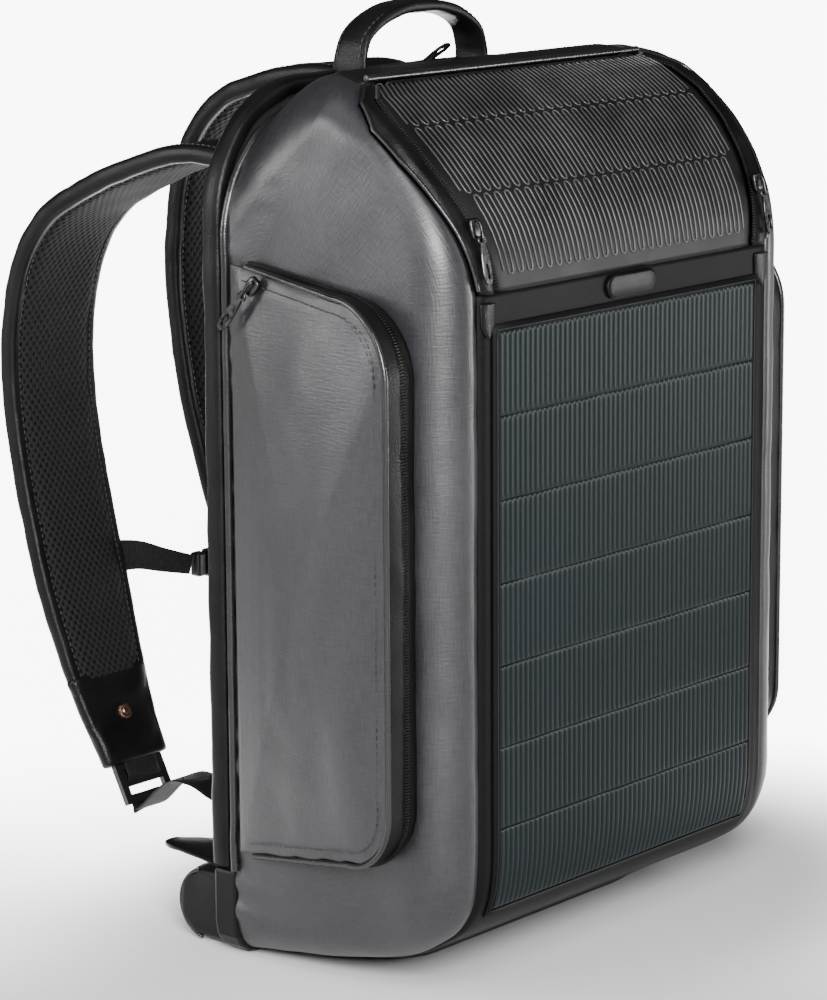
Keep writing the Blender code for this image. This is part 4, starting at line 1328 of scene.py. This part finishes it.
def lower_webbing(strap):
    """The webbing from the foot of the back round the ladder lock's lower bar, and the wing at its foot."""
    side, label = strap.side, strap.label
    bar, along = lock_bar(strap)
    out = strap.outs[-1]
    turn = bar + along * 0.0046
    wrap = [turn, bar + along * 0.0020 + out * 0.0034, bar - along * 0.0040 + out * 0.0016]
    route = [Vector((side * x, y, z)) for x, y, z in WEBBING_PATHS[side]]
    path = curve_through([*route, *wrap], 8)
    band = sweep(f"lower_webbing_{label}", path, ACROSS, lambda k: pad_outline(0.0235, 0.0015, 5.0, 12))
    move_points(band, lambda p: ripple(p, 0.02, 0.0005))
    finish_piece(band, WEBBING, None, [f"strap_webbing_{label}"])
    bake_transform(band)
    centres, widths = [], []
    for t in between(0, 1, 14):
        low, high = 0.100 + 0.010 * t, 0.143 - 0.016 * t
        blunt = 1 - 0.35 * max(0.0, (t - 0.8) / 0.2) ** 2
        centres.append(Vector((side * (low + high) / 2, 0.0848 + 0.0600 * t, 0.0472 - 0.0030 * t ** 2)))
        widths.append((high - low) * blunt)
    wing = sweep(f"anchor_tab_{label}", centres, ACROSS, lambda k: pad_outline(widths[k], 0.0042, 3.0, 20))
    move_points(wing, lambda p: ripple(p, 0.02, 0.0006))
    finish_piece(wing, LEATHER, "bag", [f"anchor_wing_{label}"])


def chest_strap():
    """The webbing from the left strap to the clip, narrowing towards it."""
    def section(k):
        return pad_outline(0.0200 - 0.008 * k / last, 0.0016, 5.0, 12)

    path = curve_through(CHEST_PATH, 8)
    last = len(path) - 1
    band = sweep("chest_strap_webbing", path, Vector((0, 0, 1)), section)
    finish_piece(band, WEBBING, "shoulder_strap_left", ["chest_webbing"])
    paint("chest_clip_plug", PLASTIC)
    paint("chest_clip_socket", PLASTIC)


for which in (LEFT, RIGHT):
    a_strap = Strap(which)
    strap_body(a_strap)
    strap_root(a_strap)
    strap_cuff(a_strap)
    lower_webbing(a_strap)
chest_strap()


# ---------------------------------------------------------------- small hardware
def pull_plate(length):
    """Outlines of a pull tab's tapered plate and of the oval hole at its tip, as (across, down) pairs."""
    outer, hole = [], []
    for k in range(32):
        a = math.tau * k / 32
        y = length * (0.5 - 0.5 * signed_power(math.cos(a), 0.8))
        half = 0.0021 + 0.0013 * min(1.0, y / (0.7 * length))
        outer.append((half * signed_power(math.sin(a), 0.55), y))
        hole.append((0.0013 * math.sin(a), length * (0.70 - 0.18 * math.cos(a))))
    return outer, hole


def zip_hardware(label, pivot, length, outward, down, carrier, swinger, nodes):
    """A slider with its bridge, and the hinged pull tab that hangs from it."""
    slider_node, pull_node = nodes
    outward, down = Vector(outward).normalized(), Vector(down).normalized()
    down = (down - outward * down.dot(outward)).normalized()
    beside = down.cross(outward).normalized()
    pivot = Vector(pivot)
    stations = ((-0.0056, 0.0046, 0.0026), (-0.0048, 0.0070, 0.0036), (-0.0020, 0.0082, 0.0040),
                (0.0010, 0.0078, 0.0040), (0.0040, 0.0064, 0.0036), (0.0054, 0.0050, 0.0026))
    rows = []
    for along, width, height in stations:
        centre = pivot + down * along
        rows.append([centre + beside * a + outward * b for a, b in pad_outline(width, height, 3.4, 20)])
    slider = grid_mesh(f"{label}_slider_body", rows, loop=True, caps=True)
    finish_piece(soften(slider), METAL, carrier, [slider_node])
    arched = ((-0.0044, 0.0012), (-0.0036, 0.0032), (-0.0010, 0.0044), (0.0026, 0.0046), (0.0056, 0.0046),
              (0.0068, 0.0036), (0.0062, 0.0016))
    bridge = curve_through([pivot + down * a + outward * b for a, b in arched], 4)
    tube(f"{label}_slider_bridge", bridge, 0.0008, METAL, carrier)
    hinge = pivot + outward * 0.0035 + down * 0.0065
    outer, hole = pull_plate(length)
    front_half = [(outer, -0.0004, 1.0), (outer, -0.0007, 0.90),
                  (hole, -0.0007, 1.25), (hole, -0.0003, 1.0)]
    rear_half = [(outline, -depth, scale) for outline, depth, scale in reversed(front_half)]
    rings = [*front_half, *rear_half, front_half[0]]
    rows = []
    for outline, depth, scale in rings:
        rows.append([hinge + beside * (x * scale) + down * y + outward * depth for x, y in outline])
    plate = grid_mesh(f"{label}_pull_plate", rows, loop=True)
    finish_piece(plate, METAL, swinger, [pull_node])
    ring = []
    for a in between(0, math.tau, 16)[:-1]:
        ring.append(hinge + beside * (0.0026 * math.sin(a)) + down * (0.0018 * math.cos(a) - 0.0004))
    tube(f"{label}_pull_ring", ring, 0.0007, METAL, swinger, loop=True)


def all_zip_hardware():
    """The five sliders and their pull tabs."""
    for side in (LEFT, RIGHT):
        label = SIDES[side]
        spot = skin(sample_of_row(HINGE_ROW + 2), side * 0.1215, 0.0030)
        zip_hardware(f"flap_{label}", spot, 0.022, (0, -1, 0.22), (0, 0, -1), "top_flap",
                     f"flap_pull_{label}", (f"flap_zip_{label}_slider", f"flap_zip_{label}_pull"))
        y = 0.038
        spot = (side * (HALF_WIDTH + pocket_stand(y) + 0.0045), y, pocket_top(y) - 0.007)
        zip_hardware(f"pocket_{label}", spot, 0.024, (side, 0, 0), (0, 0.65, -0.75), f"side_pocket_{label}",
                     f"pocket_pull_{label}", (f"pocket_{label}_slider", f"pocket_{label}_pull"))
    zip_hardware("main_zip", (0.004, 0.0680, 0.4640), 0.026, (-0.42, 0, 1), (1, 0, 0.42), "bag",
                 "main_zip_pull", ("main_zip_slider", "main_zip_pull"))


def badge():
    """The satin pill on the strip above the cells, held by two tiny screws at its left end."""
    half, middle, radius = 0.0145, 0.3645, 0.0065
    outline = arc((half, middle), radius, -90, 90, 12) + arc((-half, middle), radius, 90, 270, 12)
    levels = ((0.0, 0.0004), (0.0, 0.0016), (0.0006, 0.0023), (0.0016, 0.0026), (0.0058, 0.0026),
              (radius, 0.0026))
    rows = []
    for inset, lift in levels:
        ring = []
        for x, z in outline:
            spine = min(max(x, -half), half)
            kept = Vector((x - spine, z - middle)) * (1 - inset / radius)
            ring.append(Vector((spine + kept.x, FRONT_Y - lift, middle + kept.y)))
        rows.append(ring)
    pill = grid_mesh("badge_pill", rows, (0, -1, 0), loop=True)
    finish_piece(pill, BADGE, "bag", ["front_badge"])
    for number, dz in enumerate((-0.0022, 0.0022)):
        centre = Vector((-0.0170, FRONT_Y - 0.0024, middle + dz))
        rivet(f"badge_screw_{number + 1}", centre, Vector((0, -1, 0)), "bag", 0.17, METAL)


def flap_garages():
    """Folded leatherette tabs that cover the lower ends of the flap's side zips."""
    for side in (LEFT, RIGHT):
        rows = []
        for t in between(0, 1, 12):
            half = 0.0058 * (1 - max(0.0, (t - 0.55) / 0.45) ** 1.6) + 0.0003
            line = []
            for a in between(-1, 1, 5):
                y = FRONT_Y - 0.0012 - 0.0009 * (1 - a * a)
                line.append(Vector((side * (0.1180 + half * a), y, 0.3680 - 0.0185 * t)))
            rows.append(line)
        tab = grid_mesh(f"flap_garage_{SIDES[side]}", rows, (0, -1, 0))
        move_points(tab, lambda p: ripple(p, 0.008, 0.0005))
        thicken(tab, 0.0010)
        finish_piece(soften(tab), LEATHER, "bag")


all_zip_hardware()
badge()
flap_garages()


# ---------------------------------------------------------------- stage
def area_light(name, place, target, size, power):
    """A white rectangular lamp that faces its target."""
    data = bpy.data.lights.new(name, "AREA")
    data.shape = "RECTANGLE"
    data.size, data.size_y = size
    data.energy = power
    lamp = bpy.data.objects.new(name, data)
    bpy.context.scene.collection.objects.link(lamp)
    lamp.location = place
    lamp.rotation_euler = (Vector(target) - Vector(place)).to_track_quat("-Z", "Y").to_euler()


# The floor's white strip lies along the photograph's line of sight. It widens from a point that is
# SIGHT_START before the origin on that line and SIGHT_OFF beside it.
SIGHT_X, SIGHT_Y = 0.76, 0.65
SIGHT_START, SIGHT_OFF = 1.93, 0.049


def floor_glow(tree):
    """How brightly the floor shines: a white strip that fades out round the bag's foot, painting a soft
    shadow there, and a far glow.
    """
    place = node(tree, "SeparateXYZ", {"Vector": coordinates(tree, "Object", (1, 1, 1))})

    def across_floor(x, y):
        sideways = maths(tree, "MULTIPLY", place.outputs["X"], x)
        return maths(tree, "ADD", sideways, maths(tree, "MULTIPLY", place.outputs["Y"], y))

    def distance(x_share):
        links = {0: coordinates(tree, "Object", (x_share, 1, 0))}
        return node(tree, "VectorMath", links, operation="LENGTH").outputs["Value"]

    def fade(value, dark, bright):
        links, limits = {"Value": value}, {"From Min": dark, "From Max": bright}
        return node(tree, "MapRange", links, limits, interpolation_type="SMOOTHSTEP").outputs["Result"]

    along = across_floor(SIGHT_X, SIGHT_Y)
    aside = maths(tree, "ABSOLUTE", maths(tree, "ADD", across_floor(SIGHT_Y, -SIGHT_X), SIGHT_OFF))
    from_start = maths(tree, "MAXIMUM", maths(tree, "ADD", along, SIGHT_START), 0.1)
    spread = maths(tree, "DIVIDE", aside, from_start)
    strip = maths(tree, "MULTIPLY", fade(along, -0.20, -0.02), fade(spread, 0.26, 0.12))
    # fading the strip out near the bag's foot paints a soft shadow on the floor round it and keeps the glow
    # off the bag's lower parts
    strip = maths(tree, "MULTIPLY", strip, fade(distance(0.6), 0.12, 0.27))
    strength = maths(tree, "ADD", maths(tree, "MULTIPLY", fade(along, -0.05, 0.40), 6.6), 1.4)
    far = maths(tree, "MULTIPLY", fade(distance(1), 0.6, 2.4), 0.8)
    return maths(tree, "ADD", maths(tree, "MULTIPLY", strip, strength), far)


def studio_floor():
    """A wide pale floor, with its fixed glow."""
    bpy.ops.mesh.primitive_plane_add(size=80.0, location=(0, 0, 0))
    floor = bpy.context.object
    floor.name = "studio_floor"
    look, tree, shader = material("pale_floor", 0.8)
    speckle = texture(tree, coordinates(tree, "Object", (1, 1, 1)), 2.0, 3.0)
    colour = blend_colours(tree, speckle, (0.64, 0.64, 0.64), (0.67, 0.67, 0.67))
    finish_material(tree, shader, colour, bump(tree, speckle, 0.02, 0.0005))
    shader.inputs["Emission Color"].default_value = (1, 1, 1, 1)
    tree.links.new(floor_glow(tree), shader.inputs["Emission Strength"])
    floor.data.materials.append(look)


def studio_light():
    """A dim white world and soft lamps."""
    world = bpy.data.worlds.new("studio")
    world.use_nodes = True
    background = world.node_tree.nodes["Background"]
    background.inputs["Color"].default_value = (1, 1, 1, 1)
    background.inputs["Strength"].default_value = 0.09
    bpy.context.scene.world = world
    area_light("overhead", (-0.9, 0.7, 2.2), (0, 0, 0.2), (1.2, 1.2), 8)
    area_light("key", (-1.10, -1.00, 0.78), (-0.05, 0, 0.38), (0.5, 0.5), 50)
    area_light("high_key", (-0.8, -0.9, 1.4), (-0.05, 0, 0.38), (0.5, 0.5), 12)
    area_light("rear_strip", (-1.2, 1.05, 0.70), (-0.15, 0, 0.35), (0.4, 0.7), 15)
    area_light("left_fill", (-1.5, 0.2, 0.9), (-0.15, 0, 0.35), (0.5, 0.5), 6)
    area_light("panel_sheen", (1.15, -1.20, 0.28), (0, -0.08, 0.35), (0.4, 0.4), 16)
    area_light("front_fill", (0.9, -1.4, 1.3), (0, 0, 0.40), (0.7, 0.7), 4)


studio_floor()
studio_light()
